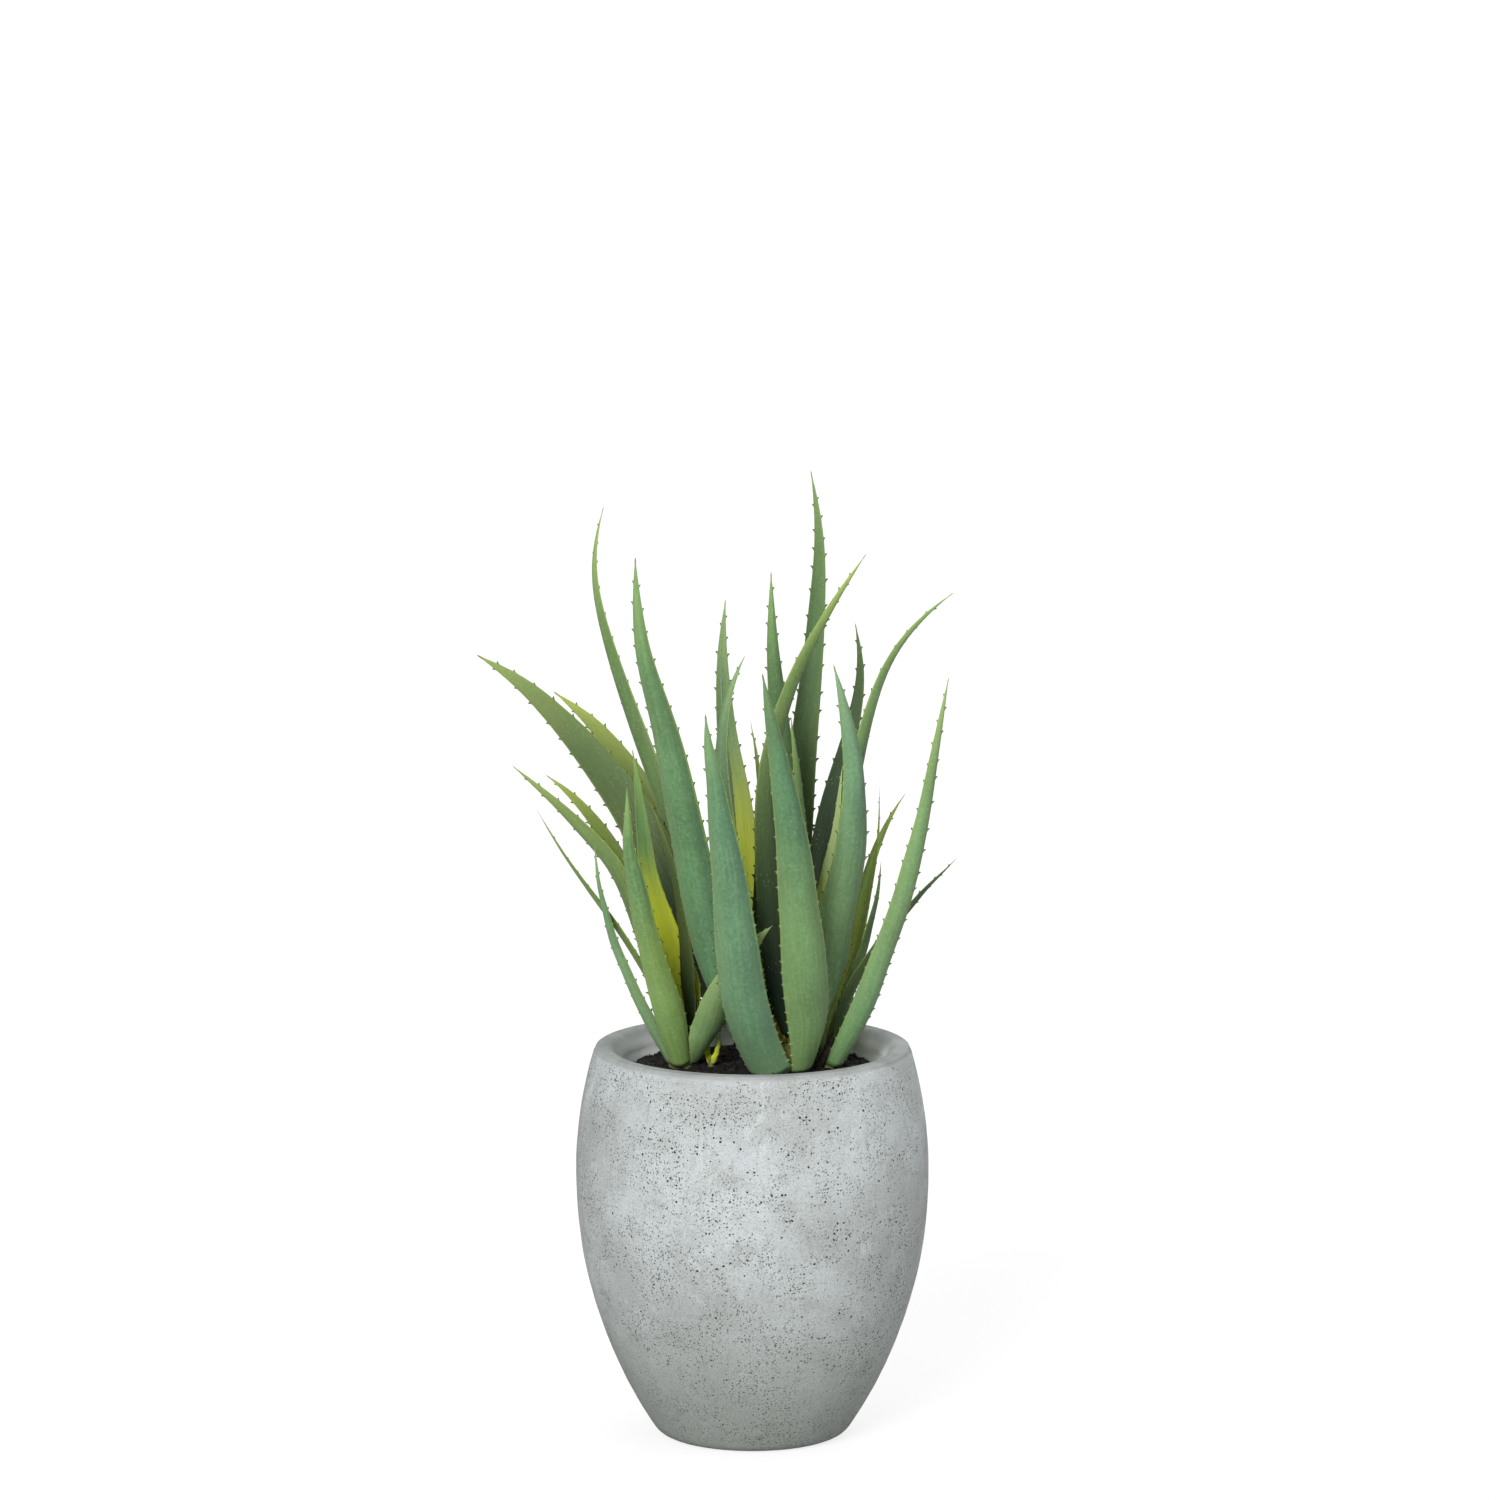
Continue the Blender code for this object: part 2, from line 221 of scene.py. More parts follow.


# %% [markdown]
# ## Leaf skin
# An aloe leaf has a thick waxy skin: blue-green where the wax is whole, yellower at the edges, the root and
# the tip, and olive to brown where the sun has reddened it. The finish adds painted shade deep in the clump,
# and a painted highlight down one side with painted shade down the other. It could be painted on an image,
# but that needs a layout for each leaf. Here the mesh carries how far along the leaf a point is, how near the
# edge, which side it is on, and how much of each tint and of painted shade it has, so one finish serves all
# the leaves and still no two are alike.

# %% Finish of the leaves
def leaf_skin():
    f = Finish("leaf_skin")
    along, rim, front, across = (f.value(n) for n in ("along", "rim", "front", "across"))
    olive, lime, dusk, bloom, thorn = (f.value(n) for n in ("olive", "lime", "dusk", "bloom", "thorn"))
    place = f.place()
    skin = f.node("Attribute", {"attribute_name": "skin"}, {}, "Vector")
    broad = f.cloud(place, 14.0)
    mottle = f.cloud(place, 260.0, 4.0, 0.65)
    fine = f.cloud(place, 420.0, 2.0)
    streak = f.cloud(f.stretch(skin, (380.0, 14.0, 1.0)), 1.0, 3.0)

    # The skin itself: broad patches, streaks along the leaf, and a fine pale and dark mottle.
    colour = broad.between(0.32, 0.68).choose(paint(72, 121, 82), paint(94, 147, 99))
    colour = (streak.between(0.42, 0.70) * 0.28).choose(colour, paint(130, 174, 120))
    colour = (mottle.between(0.50, 0.68) * 0.34).choose(colour, paint(142, 182, 130))
    colour = ((1 - mottle.between(0.32, 0.50)) * 0.38).choose(colour, paint(58, 102, 64))
    # The inner face, a painted highlight down one side and painted shade down the other, and the paler ends.
    colour = (front * 0.40).choose(colour, paint(84, 122, 62))
    # Painted highlight where across is negative, painted shade where it is positive.
    colour = ((1 - across.between(-1.0, 0.1)) * 0.30).choose(colour, paint(142, 180, 112))
    colour = (across.between(0.1, 1.0) * 0.55).choose(colour, paint(44, 86, 60))
    ends = (1 - along.between(0.0, 0.18)) * 0.25 + along.between(0.76, 1.0) * 0.55
    colour = ends.choose(colour, paint(148, 184, 116))
    # The tints of its own leaf, and its painted shade where it lies deep in the clump.
    colour = (olive * broad.between(0.25, 0.6) * 0.75).choose(colour, paint(122, 140, 84))
    colour = (olive * fine.between(0.5, 0.7) * 0.30).choose(colour, paint(120, 92, 70))
    colour = (lime * (0.72 + streak * 0.28)).choose(colour, paint(238, 246, 56))
    colour = (bloom * (0.65 + mottle * 0.5)).choose(colour, paint(160, 186, 160))
    # Painted shade: near-black green on a leaf that lies deep in the clump, at its root or its tip.
    colour = (dusk * 0.93).choose(colour, paint(20, 44, 22))
    # The pale edge, rare pale specks, and teeth that turn to dark horn away from the root.
    edge = rim.between(0.90, 1.0) * (1 - dusk * 0.6) * (0.35 + along.between(0.15, 0.6) * 0.65)
    colour = (edge * 0.75).choose(colour, paint(164, 196, 90))
    speck = 1 - f.cells(place, 300.0).between(0.10, 0.24)
    rare = f.cloud(place, 45.0, 1.0).between(0.50, 0.62)
    colour = (speck * rare * 0.30).choose(colour, paint(190, 208, 146))
    horn = along.between(0.06, 0.24) * (0.60 + broad.between(0.35, 0.6) * 0.40)
    thorn_colour = horn.choose(paint(178, 186, 118), paint(58, 26, 26))
    colour = thorn.between(0.15, 0.60).choose(colour, thorn_colour)
    tip = along.between(0.985, 1.0)
    colour = (tip * 0.7).choose(colour, paint(150, 120, 70))

    roughness = 0.44 + fine * 0.12 + broad * 0.06
    grain = f.relief(streak, 0.0008, f.relief(fine, 0.0003))
    f.shade(Base_Color=colour, Roughness=roughness, Normal=grain)
    f.shade(Specular_IOR_Level=0.4, Sheen_Weight=0.06, Sheen_Roughness=0.5)
    return f.done()


LEAF_SKIN = leaf_skin()

# %% [markdown]
# ## Where each leaf grows
# These rows say the same as the CAD does: where a leaf grows on its stem, its length and width, how it leans
# at even steps from root to tip, and the way its rounded back faces. The leaf is then walked in small steps
# along its own heading, as a real one grows, so two leaves of the same row would bend alike. A rosette's
# sizes are in metres, a leaf's in millimetres, and angles are in degrees. The tints say how olive, lime and
# pale with wax the skin is, and how much painted shade it has deep in the clump. All but olive have one
# number for the root and one for the tip.

# %% The mother rosette
Rosette = namedtuple("Rosette", "name x y radius top_radius height leaves")
LEAF_FIELDS = "around up length width right back face root fall olive lime dusk bloom"
NO_TINT = (0.0, (0.0, 0.0), (0.0, 0.0), (0.0, 0.0))
USUAL_ROOT, USUAL_FALL = 0.45, 1.3
Leaf = namedtuple("Leaf", LEAF_FIELDS, defaults=(USUAL_ROOT, USUAL_FALL, *NO_TINT))
MOTHER = Rosette("mother", 0.030, -0.008, 0.025, 0.014, 0.042, [
    Leaf(-118, 2, 400, 48, (-25, -10, -5, -10, -5), (-28, -20, -12, -6), -98, 1.0, 1.5, bloom=(.26, .1)),
    Leaf(-40, 2, 440, 47, (10, -5, -5, -10, -10), (-26, -20, -12, -8), -85, .6, 1.5,
         lime=(.1, 0), dusk=(0, .28), bloom=(.1, .1)),
    Leaf(12, 16, 410, 42, (20, 10, 10, -5, -15), (-10, -8, -6), -70, .6, 1.6,
         lime=(.08, 0), dusk=(.12, 0), bloom=(0, .35)),
    Leaf(-170, 3, 540, 45, (-25, -15, -10, -15, 0), (-7, -8, -6, -3), -112, .6, 1.6,
         lime=(0, .1), dusk=(.25, 0), bloom=(.1, .05)),
    Leaf(150, 20, 500, 50, (-45, -30, -25, -35, -45, -60), (25, 15, 8), 105, .45, 1.8,
         olive=.85, lime=(.1, .15), dusk=(1.3, 0)),
    Leaf(-150, 30, 400, 27, (-10, -10, -10, 0, 25), (-6, -4, -2), -140, .6, 2.4,
         olive=.1, lime=(.1, .1), dusk=(.7, 0), bloom=(0, .3)),
    Leaf(-60, 34, 510, 29, (-15, -5, 5, 25, 35), (2, 3, 3), -50, .6, 1.7,
         olive=.15, lime=(.1, .3), dusk=(1.2, 0)),
    Leaf(85, 18, 300, 34, (-20, -5, 0, 0, 0), (5, 5, 4), 85, .4, lime=(.1, 0), dusk=(1.3, .6)),
    Leaf(60, 4, 300, 22, (10, 10, 10, 5), (4, 3, 2), 60, .6, lime=(1, .9), bloom=(0, .8)),
    Leaf(25, 28, 330, 26, (5, 0, 0, -5, -5), (-4, -3, -1), -60, .6,
         olive=.6, lime=(.3, .1), dusk=(.8, .1)),
])

# %% The taller rosette behind
BACK = Rosette("back", 0.016, 0.064, 0.022, 0.012, 0.052, [
    Leaf(-145, 3, 578, 36, (-15, -20, -20, -20, -15, 15), (8, 9, 8), -145, .6, 1.4,
         olive=.1, lime=(.1, .2), dusk=(.6, 0)),
    Leaf(150, 18, 420, 44, (-40, -25, -20, -35, -55), (30, 24, 16), 110, .45, 1.7,
         olive=.9, lime=(.1, .4), dusk=(.7, .1)),
    Leaf(98, 24, 440, 34, (-10, -5, -10, -5, 5), (22, 16, 6), 100, .4, 1.7,
         olive=.2, lime=(1, .1), dusk=(.45, 0), bloom=(0, .2)),
    Leaf(170, 26, 400, 16, (-5, -5, -5, -5, 0), (6, 4), 160, .6,
         olive=.1, lime=(.4, .3), dusk=(.6, 0), bloom=(.3, .8)),
    Leaf(-75, 42, 450, 36, (10, 5, -5, -5, 0), (4, 3, 2), -90, .5, 1.4, lime=(.2, .1), dusk=(1.1, 0)),
    Leaf(50, 22, 568, 34, (5, 5, 5, 5, -10), (8, 8, 3), 80, .5, 1.6,
         olive=.1, lime=(.1, .1), dusk=(1, .15)),
    Leaf(-20, 3, 440, 32, (10, 10, 10, 15, -10), (5, 7, 6), 70, .6, 1.6,
         olive=.2, lime=(.1, .1), dusk=(1.2, .55)),
    Leaf(-65, 3, 510, 30, (25, 15, 10, 20, 55), (0, 4, 8), -35, .6, 1.6,
         olive=.1, lime=(.1, .2), dusk=(.8, .05), bloom=(0, .1)),
    Leaf(60, 46, 290, 14, (-10, 0, -5, -10), (4, 4), 90, .6, olive=.2, lime=(.2, .2), dusk=(.8, .1)),
    Leaf(72, 3, 320, 36, (10, 6), (34, 36, 38), 90, olive=.3, lime=(.2, .1), dusk=(.7, .1)),
    Leaf(112, 4, 300, 34, (-12, -10), (38, 42, 44), 120, olive=.1, lime=(.2, .1), dusk=(.7, .1)),
    Leaf(38, 12, 250, 34, (24, 18), (28, 32, 34), 45, olive=.5, lime=(.2, .1), dusk=(.7, .1)),
    Leaf(26, 3, 180, 26, (36, 28), (28, 32, 34), 20, olive=.2, lime=(.4, .1), dusk=(.6, .1)),
])

# %% The young plant on the left
LEFT_PUP = Rosette("left_pup", -0.072, 0.006, 0.013, 0.008, 0.034, [
    Leaf(-88, 2, 310, 31, (-10, -15, -10, 0), (-20, -15, -8), -105, .6, 1.5, olive=.1, lime=(.15, .1)),
    Leaf(-130, 2, 250, 17, (-25, -25, -15, -5), (-14, -10, -6), -130, .6, lime=(.1, .1), bloom=(.3, .1)),
    Leaf(-150, 14, 290, 16, (0, -25, -35, -35, -30), (-17, -3, 3), -155, .6,
         olive=.5, lime=(.1, .2), dusk=(.16, .2)),
    Leaf(154, 4, 350, 28, (0, -15, -25, -45, -50), (-2, 2, 2), -130, .4, 1.7,
         olive=.55, lime=(.1, .2), dusk=(.35, .05)),
    Leaf(110, 18, 320, 30, (0, -15, -30, -35, -55), (28, 24, 14), 125, .35, 1.7,
         olive=.7, lime=(.2, .35), dusk=(.45, .05)),
    Leaf(95, 28, 300, 29, (20, -20, -15, -5, -10), (-5, -2, 0), 105, .4, lime=(1, .1)),
    Leaf(18, 12, 260, 22, (0, -5, -5, -15, -20), (-8, -4, 0), 40, .6,
         olive=.2, lime=(.3, .3), dusk=(1.1, .45)),
    Leaf(-12, 6, 188, 32, (20, 20, 30, 45), (-34, -30, -24, -18), -75, .6, 2.2,
         lime=(.1, .4), dusk=(.12, .15), bloom=(.1, .4)),
    Leaf(80, 2, 200, 26, (-10, -8), (32, 34, 36), 90, .6, olive=.4, lime=(.3, .1), dusk=(.7, .2)),
])

# %% The young plant on the right
RIGHT_PUP = Rosette("right_pup", 0.078, 0.004, 0.010, 0.006, 0.020, [
    Leaf(-70, 2, 430, 26, (25, 20, 15, 10, 10), (-22, -14, -8, -2), -65, .7, 1.5,
         lime=(.05, .2), bloom=(.12, .15)),
    Leaf(-25, 3, 250, 18, (-5, 25, 40, 45), (-6, -6, 0), -40, .6, olive=.6, lime=(.1, .1), dusk=(.9, .6)),
    Leaf(60, 5, 280, 22, (10, 10, 15, 35), (20, 16), 45, .6, 1.6,
         olive=.1, lime=(.3, .3), dusk=(.5, .05)),
    Leaf(112, 14, 270, 12, (20, 15, 10, 0), (16, 12), 30, .6, olive=.1, lime=(.2, .5), dusk=(.5, 0)),
    Leaf(32, 12, 200, 18, (0, 20, 15, 5), (0, 0), -40, .6, olive=.3, lime=(.1, .1), dusk=(.75, .5)),
    Leaf(130, 3, 240, 26, (4, 4), (36, 38, 38), 90, .6, olive=.3, lime=(.3, .1), dusk=(.7, .1)),
])

# %% The new shoot
SPROUT = Rosette("sprout", -0.042, 0.003, 0.003, 0.002, 0.006, [
    Leaf(120, 2, 26, 7, (-10, 5), (0, 0), 120, .6, lime=(.8, .9)),
    Leaf(-40, 2, 34, 9, (20, 5), (-12, -5), -50, .6, lime=(.8, 1)),
])
ROSETTES = (MOTHER, BACK, LEFT_PUP, RIGHT_PUP, SPROUT)
print(len(ROSETTES), "rosettes")

# %% [markdown]
# ## The leaf's line and width
# A real leaf keeps its width for most of its length, then narrows to a point. Its line could be drawn as a
# Bezier curve, but lean angles say the same in fewer numbers, and keep the length true. The angles are joined
# by a smooth curve, the heading at each point follows from them, and adding up short steps along the heading
# gives the line that the leaf is built on.

# %% Line, heading and width of a leaf
WIDEST_AT = 0.20  # share of the length
TIP_FULLNESS = 0.85
TIP_SHARE = 0.035  # width left at the tip
WALK_STEPS = 240
SOIL_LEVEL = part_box("soil")[1].z


def along_curve(values, shares):
    """Values at these shares of the way through a list, on a smooth curve through its entries."""
    values = np.asarray(values, float)
    last = len(values) - 1
    at = np.minimum(shares * last, last - 1e-9)
    k = at.astype(int)
    t = at - k
    before, start, end, after = (values[np.clip(k + j, 0, last)] for j in (-1, 0, 1, 2))
    square = 2 * before - 5 * start + 4 * end - after
    cubic = 3 * (start - end) + after - before
    return start + 0.5 * t * (end - before + t * (square + t * cubic))


def headings(leaf, shares):
    right = np.tan(np.radians(along_curve(leaf.right, shares)))
    back = np.tan(np.radians(along_curve(leaf.back, shares)))
    way = np.stack([right, back, np.ones_like(shares)], axis=1)
    return way / np.linalg.norm(way, axis=1, keepdims=True)


def compass(degrees):
    """Level directions at these angles, 0 at +X and 90 at +Y."""
    angle = np.radians(degrees)
    return np.stack([np.cos(angle), np.sin(angle), np.zeros_like(angle)], axis=-1)


def centreline(rosette, leaf, shares):
    narrowing = (rosette.top_radius - rosette.radius) * leaf.up * MM / rosette.height
    root = np.array([rosette.x, rosette.y, SOIL_LEVEL + leaf.up * MM])
    root = root + compass(float(leaf.around)) * (rosette.radius + narrowing)
    middles = (np.arange(WALK_STEPS) + 0.5) / WALK_STEPS
    steps = headings(leaf, middles) * (leaf.length * MM / WALK_STEPS)
    line = root + np.vstack([np.zeros(3), np.cumsum(steps, axis=0)])
    ends = np.linspace(0.0, 1.0, WALK_STEPS + 1)
    return np.stack([np.interp(shares, ends, line[:, axis]) for axis in range(3)], axis=1)


def half_widths(leaf, shares):
    swell = np.sin(math.pi / 2 * np.minimum(shares / WIDEST_AT, 1.0))
    rising = leaf.root + (1.0 - leaf.root) * swell
    past = np.clip((shares - WIDEST_AT) / (1.0 - WIDEST_AT), 0.0, 1.0)
    shape = np.where(shares > WIDEST_AT, (1.0 - past**leaf.fall) ** TIP_FULLNESS, rising)
    return leaf.width * MM / 2 * np.maximum(shape, TIP_SHARE)


# %% [markdown]
# ## Teeth
# Both edges of an aloe leaf carry small hooked teeth that point to the tip. They are close and pale near the
# root, and wider apart and dark further up. They could be cones stuck on, but a real tooth is the edge itself
# drawn out, so the edge point of a ring is moved out and forwards. Each tooth asks for four rings of its own.

# %% Where the teeth are
TOOTH_RINGS = (-2.8, -0.9, 0.5, 1.7)  # mm along the edge
TOOTH_RISE = (0.0, 0.28, 1.0, 0.0)
FIRST_TOOTH = 8.0  # mm from the root
LAST_TOOTH = 0.97  # share of the length


def tooth_places(leaf, dice):
    """(share of the length, height in mm) of each tooth on one edge."""
    places, at = [], FIRST_TOOTH + 6.0 * dice.random()
    wide = min(1.1, 0.6 + leaf.width / 70)
    while at < LAST_TOOTH * leaf.length:
        share = at / leaf.length
        height = (1.5 + 1.3 * min(1.0, share * 2.5) - 1.0 * share**3) * wide
        places.append((share, height * (0.75 + 0.5 * dice.random())))
        pitch = 11.0 + 12.0 * min(1.0, share * 1.6)
        at += pitch * (0.7 + 0.6 * dice.random())
    return places


def tooth_offsets(leaf, teeth, shares):
    """How far the edge stands out at each ring, in metres, and how much of a tooth it is."""
    out, part = np.zeros_like(shares), np.zeros_like(shares)
    for share, height in teeth:
        from_tooth = (shares - share) * leaf.length
        rise = np.interp(from_tooth, TOOTH_RINGS, TOOTH_RISE, left=0.0, right=0.0)
        out = np.maximum(out, rise * height * MM)
        part = np.maximum(part, rise)
    return out, part


# %% [markdown]
# ## The leaf's section
# A section is a crescent: the back is full and round, the front is a shallow channel, and the edges are thin
# but not sharp. Towards the tip the leaf grows rounder. A swept curve would give one section throughout, so
# the rings are worked out one by one. Slow random waves in width, fullness and line keep the leaf from
# looking moulded.

# %% Rings, and slow waves
BACK_POINTS = 13
FRONT_POINTS = 9
RING = BACK_POINTS + FRONT_POINTS
RING_STEP = 6  # mm
FEWEST_RINGS = 24


def leaf_rings(leaf, teeth):
    """The shares of the length at which the leaf has a ring."""
    count = max(FEWEST_RINGS, int(leaf.length / RING_STEP))
    shares = set(np.round(np.linspace(0.0, 1.0, count), 5))
    for edge in teeth:
        for share, _ in edge:
            for offset in TOOTH_RINGS:
                shares.add(round(min(max(share + offset / leaf.length, 0.0), 1.0), 5))
    return np.array(sorted(shares))


def waves(shares, dice, sizes):
    """A sum of slow waves of these sizes, one turn more for each."""
    total = np.zeros_like(shares)
    for turns, size in enumerate(sizes, 2):
        total += size * np.sin(2 * math.pi * (turns * shares + dice.random()))
    return total


# %% Where each ring lies
TURNED_BY = 0.25  # share of the length in which the leaf turns its back outwards
WIDTH_WAVES = (0.010, 0.010, 0.008, 0.006)  # shares of the width
FACE_WAVES = (2.5, 1.5)  # degrees
LINE_WAVES = (0.0004, 0.0004, 0.0003)  # metres


def leaf_frame(rosette, leaf, shares, settled, dice):
    """Half the width and the middle of each ring, and its directions along, outward and sideways."""
    way = headings(leaf, shares)
    half = half_widths(leaf, shares) * (1 + settled * waves(shares, dice, WIDTH_WAVES))
    turn = (leaf.face - leaf.around + 180) % 360 - 180
    facing = leaf.around + turn * np.minimum(shares / TURNED_BY, 1.0)
    outward = compass(facing + settled * waves(shares, dice, FACE_WAVES))
    outward = outward - way * np.sum(outward * way, axis=1, keepdims=True)
    outward /= np.linalg.norm(outward, axis=1, keepdims=True)
    side = np.cross(way, outward)
    drift = settled * waves(shares, dice, LINE_WAVES)
    centre = centreline(rosette, leaf, shares) + side * drift[:, None]
    return half, centre, way, outward, side


# %% The crescent
FULLNESS_WAVES = (0.03, 0.03)
EDGE_LIP = 0.035  # share of half the width
CHANNEL_EDGE = 0.88


def leaf_section(half, shares, settled, dice):
    """Each point of a ring: its place across, whether it is on the front, and its depth at each ring."""
    near_root = np.maximum(0.0, 1 - shares / WIDEST_AT)
    near_tip = np.clip((shares - 0.6) / 0.4, 0.0, 1.0)
    full = half * (0.60 + 0.06 * near_root + 0.10 * near_tip)
    full = full * (1 + settled * waves(shares, dice, FULLNESS_WAVES))
    channel = half * (0.14 - 0.12 * near_root - 0.20 * near_tip)
    section = []
    for across in np.sin(np.linspace(-math.pi / 2, math.pi / 2, BACK_POINTS)):
        section.append((across, False, full * max(1 - across**2, 0.0) ** 0.8))
    for across in np.linspace(CHANNEL_EDGE, -CHANNEL_EDGE, FRONT_POINTS):
        depth = channel * (1 - across**2) - half * EDGE_LIP * (1 - across**6)
        section.append((across, True, depth))
    return section


# %% [markdown]
# ## Leaves
# The rings are joined into one closed mesh, with the teeth drawn out of its two edges. The root ring is
# drawn in towards the stem, and the last ring closes on a point. Each point carries the numbers that the
# skin reads, and its place on the flattened leaf, which the streaks follow.

# %% Tints and painted shade along a leaf
LIME_ENDS, LIME_FADE = 0.38, 0.34  # shares of the length


def tints(leaf, shares):
    """What each ring carries: how far along it is, how lime and pale with wax, and how much painted shade it
    has.
    """
    grown = np.clip((shares - LIME_ENDS) / LIME_FADE, 0.0, 1.0)
    return {
        "along": shares,
        "lime": leaf.lime[0] * (1 - grown**2 * (3 - 2 * grown)) + leaf.lime[1] * shares**1.5,
        "dusk": leaf.dusk[0] * (1 - shares) ** 0.8 + leaf.dusk[1] * shares,
        "bloom": leaf.bloom[0] + (leaf.bloom[1] - leaf.bloom[0]) * shares,
    }


# %% Build one leaf
APEX = 0.003  # metres past the last ring
HOOK = 0.45  # how far a tooth leans to the tip, for its height
ROOT_DRAW = 0.25


def build_leaf(rosette, leaf, name):
    dice = random.Random(name)
    teeth = [tooth_places(leaf, dice), tooth_places(leaf, dice)]
    shares = leaf_rings(leaf, teeth)
    settled = np.minimum(1.0, shares * 4) * np.minimum(1.0, (1 - shares) * 6)
    half, centre, way, outward, side = leaf_frame(rosette, leaf, shares, settled, dice)
    section = leaf_section(half, shares, settled, dice)
    offsets = [tooth_offsets(leaf, edge, shares) for edge in teeth]
    own_seed = np.full_like(shares, 10.0 * dice.random())
    points, thorns, skins = [], [], []
    for across, _, depth in section:
        point = centre + side * (across * half)[:, None] + outward * depth[:, None]
        part = np.zeros_like(shares)
        if abs(across) > 0.999:
            out, part = offsets[0] if across < 0 else offsets[1]
            point = point + side * (np.sign(across) * out)[:, None]
            point = point + way * (out * HOOK * part)[:, None]
        points.append(point)
        thorns.append(part)
        skins.append(np.stack([across * half, shares * leaf.length * MM, own_seed], axis=1))
    points = np.stack(points, axis=1)
    stem_middle = np.array([rosette.x, rosette.y, points[0, :, 2].mean()])
    points[0] += (stem_middle - points[0].mean(axis=0)) * ROOT_DRAW

    count = len(shares)
    faces = rings_to_faces(count, RING)[:-1]
    last, apex = (count - 1) * RING, count * RING
    faces += [(last + k, last + (k + 1) % RING, apex) for k in range(RING)]
    places = np.array([across for across, _, _ in section])
    fronts = np.array([float(is_front) for _, is_front, _ in section])
    values = {
        "rim": np.append(np.tile(abs(places), count), 0.5),
        "across": np.append(np.tile(places, count), 0.0),
        "front": np.append(np.tile(fronts, count), 0.5),
        "thorn": np.append(np.stack(thorns, axis=1).ravel(), 0.0),
        "olive": np.full(count * RING + 1, leaf.olive),
    }
    for label, numbers in tints(leaf, shares).items():
        values[label] = np.append(np.repeat(numbers, RING), numbers[-1])
    points = [*points.reshape(-1, 3), centre[-1] + way[-1] * APEX]
    piece = make_piece(name + "_blade", points, faces, LEAF_SKIN, [name], values)
    skin = piece.data.attributes.new("skin", "FLOAT_VECTOR", "POINT")
    laid = np.vstack([np.stack(skins, axis=1).reshape(-1, 3), [[0.0, leaf.length * MM, 0.0]]])
    skin.data.foreach_set("vector", laid.astype(np.float32).ravel())
    return piece


# %% Build all the leaves
blades = []
for rosette in ROSETTES:
    for number, leaf in enumerate(rosette.leaves, 1):
        blades.append(build_leaf(rosette, leaf, f"{rosette.name}_leaf_{number:02d}"))
print(len(blades), "leaves,", sum(len(b.data.polygons) for b in blades), "faces")

# %% [markdown]
# ## Check a leaf against its CAD
# The visual leaf may stand a little proud of its CAD solid, because of the teeth, but no more. The boxes of
# the two are compared, which is quick, and enough to show a leaf that has strayed.

# %% Compare boxes
worst = 0.0
for blade in blades:
    low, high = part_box(blade["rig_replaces"][0])
    corners = np.array([v.co for v in blade.data.vertices])
    gap = max(*(corners.max(axis=0) - np.array(high)), *(np.array(low) - corners.min(axis=0)))
    worst = max(worst, gap)
print(f"a leaf stands at most {worst / MM:.1f} mm outside its CAD box")

# %% [markdown]
# ## Stems and dry scales
# Between the leaf roots a little of each stem shows: a short trunk ringed by the scars of lost leaves, with
# papery scales, the dried roots of old leaves, still hugging it. The trunk could be a turned profile, but
# noise on each ring's radius makes it rough as well. Scales are small lofts like the leaves, and they are
# joined to the stem's mesh, since on the plant they are one tissue.

# %% Finish of the stems
def stem_bark():
    f = Finish("stem_bark")
    dry, along = f.value("dry"), f.value("along")
    place = f.place()
    fibre = f.cloud(f.stretch(place, (500.0, 500.0, 45.0)), 1.0, 3.0)
    broad = f.cloud(place, 55.0)
    colour = broad.between(0.35, 0.65).choose(paint(96, 96, 46), paint(150, 148, 78))
    straw = along.between(0.1, 0.9).choose(paint(206, 168, 44), paint(150, 104, 52))
    colour = (dry * broad.between(0.2, 0.6)).choose(colour, straw)
    colour = (fibre.between(0.45, 0.75) * 0.45).choose(colour, paint(70, 50, 26))
    f.shade(Base_Color=colour, Roughness=0.6 + fibre * 0.25, Normal=f.relief(fibre, 0.0008))
    return f.done()


STEM_BARK = stem_bark()

# %% The stem's radius
DOME = 0.3  # the domed top is this share of the top radius high


def stem_radius(rosette, height):
    if height < 0:
        return rosette.radius * (1 + 0.3 * height / (2.5 * rosette.radius))
    if height <= rosette.height:
        return rosette.radius + (rosette.top_radius - rosette.radius) * height / rosette.height
    past = (height - rosette.height) / (DOME * rosette.top_radius)
    return rosette.top_radius * (1 - 0.5 * past**2)


# %% One dry scale
SCALE_ACROSS = 7
SCALE_ROWS = 9
SCALE_HALF = 0.0005  # half its thickness
SCALE_GAP = 0.0006


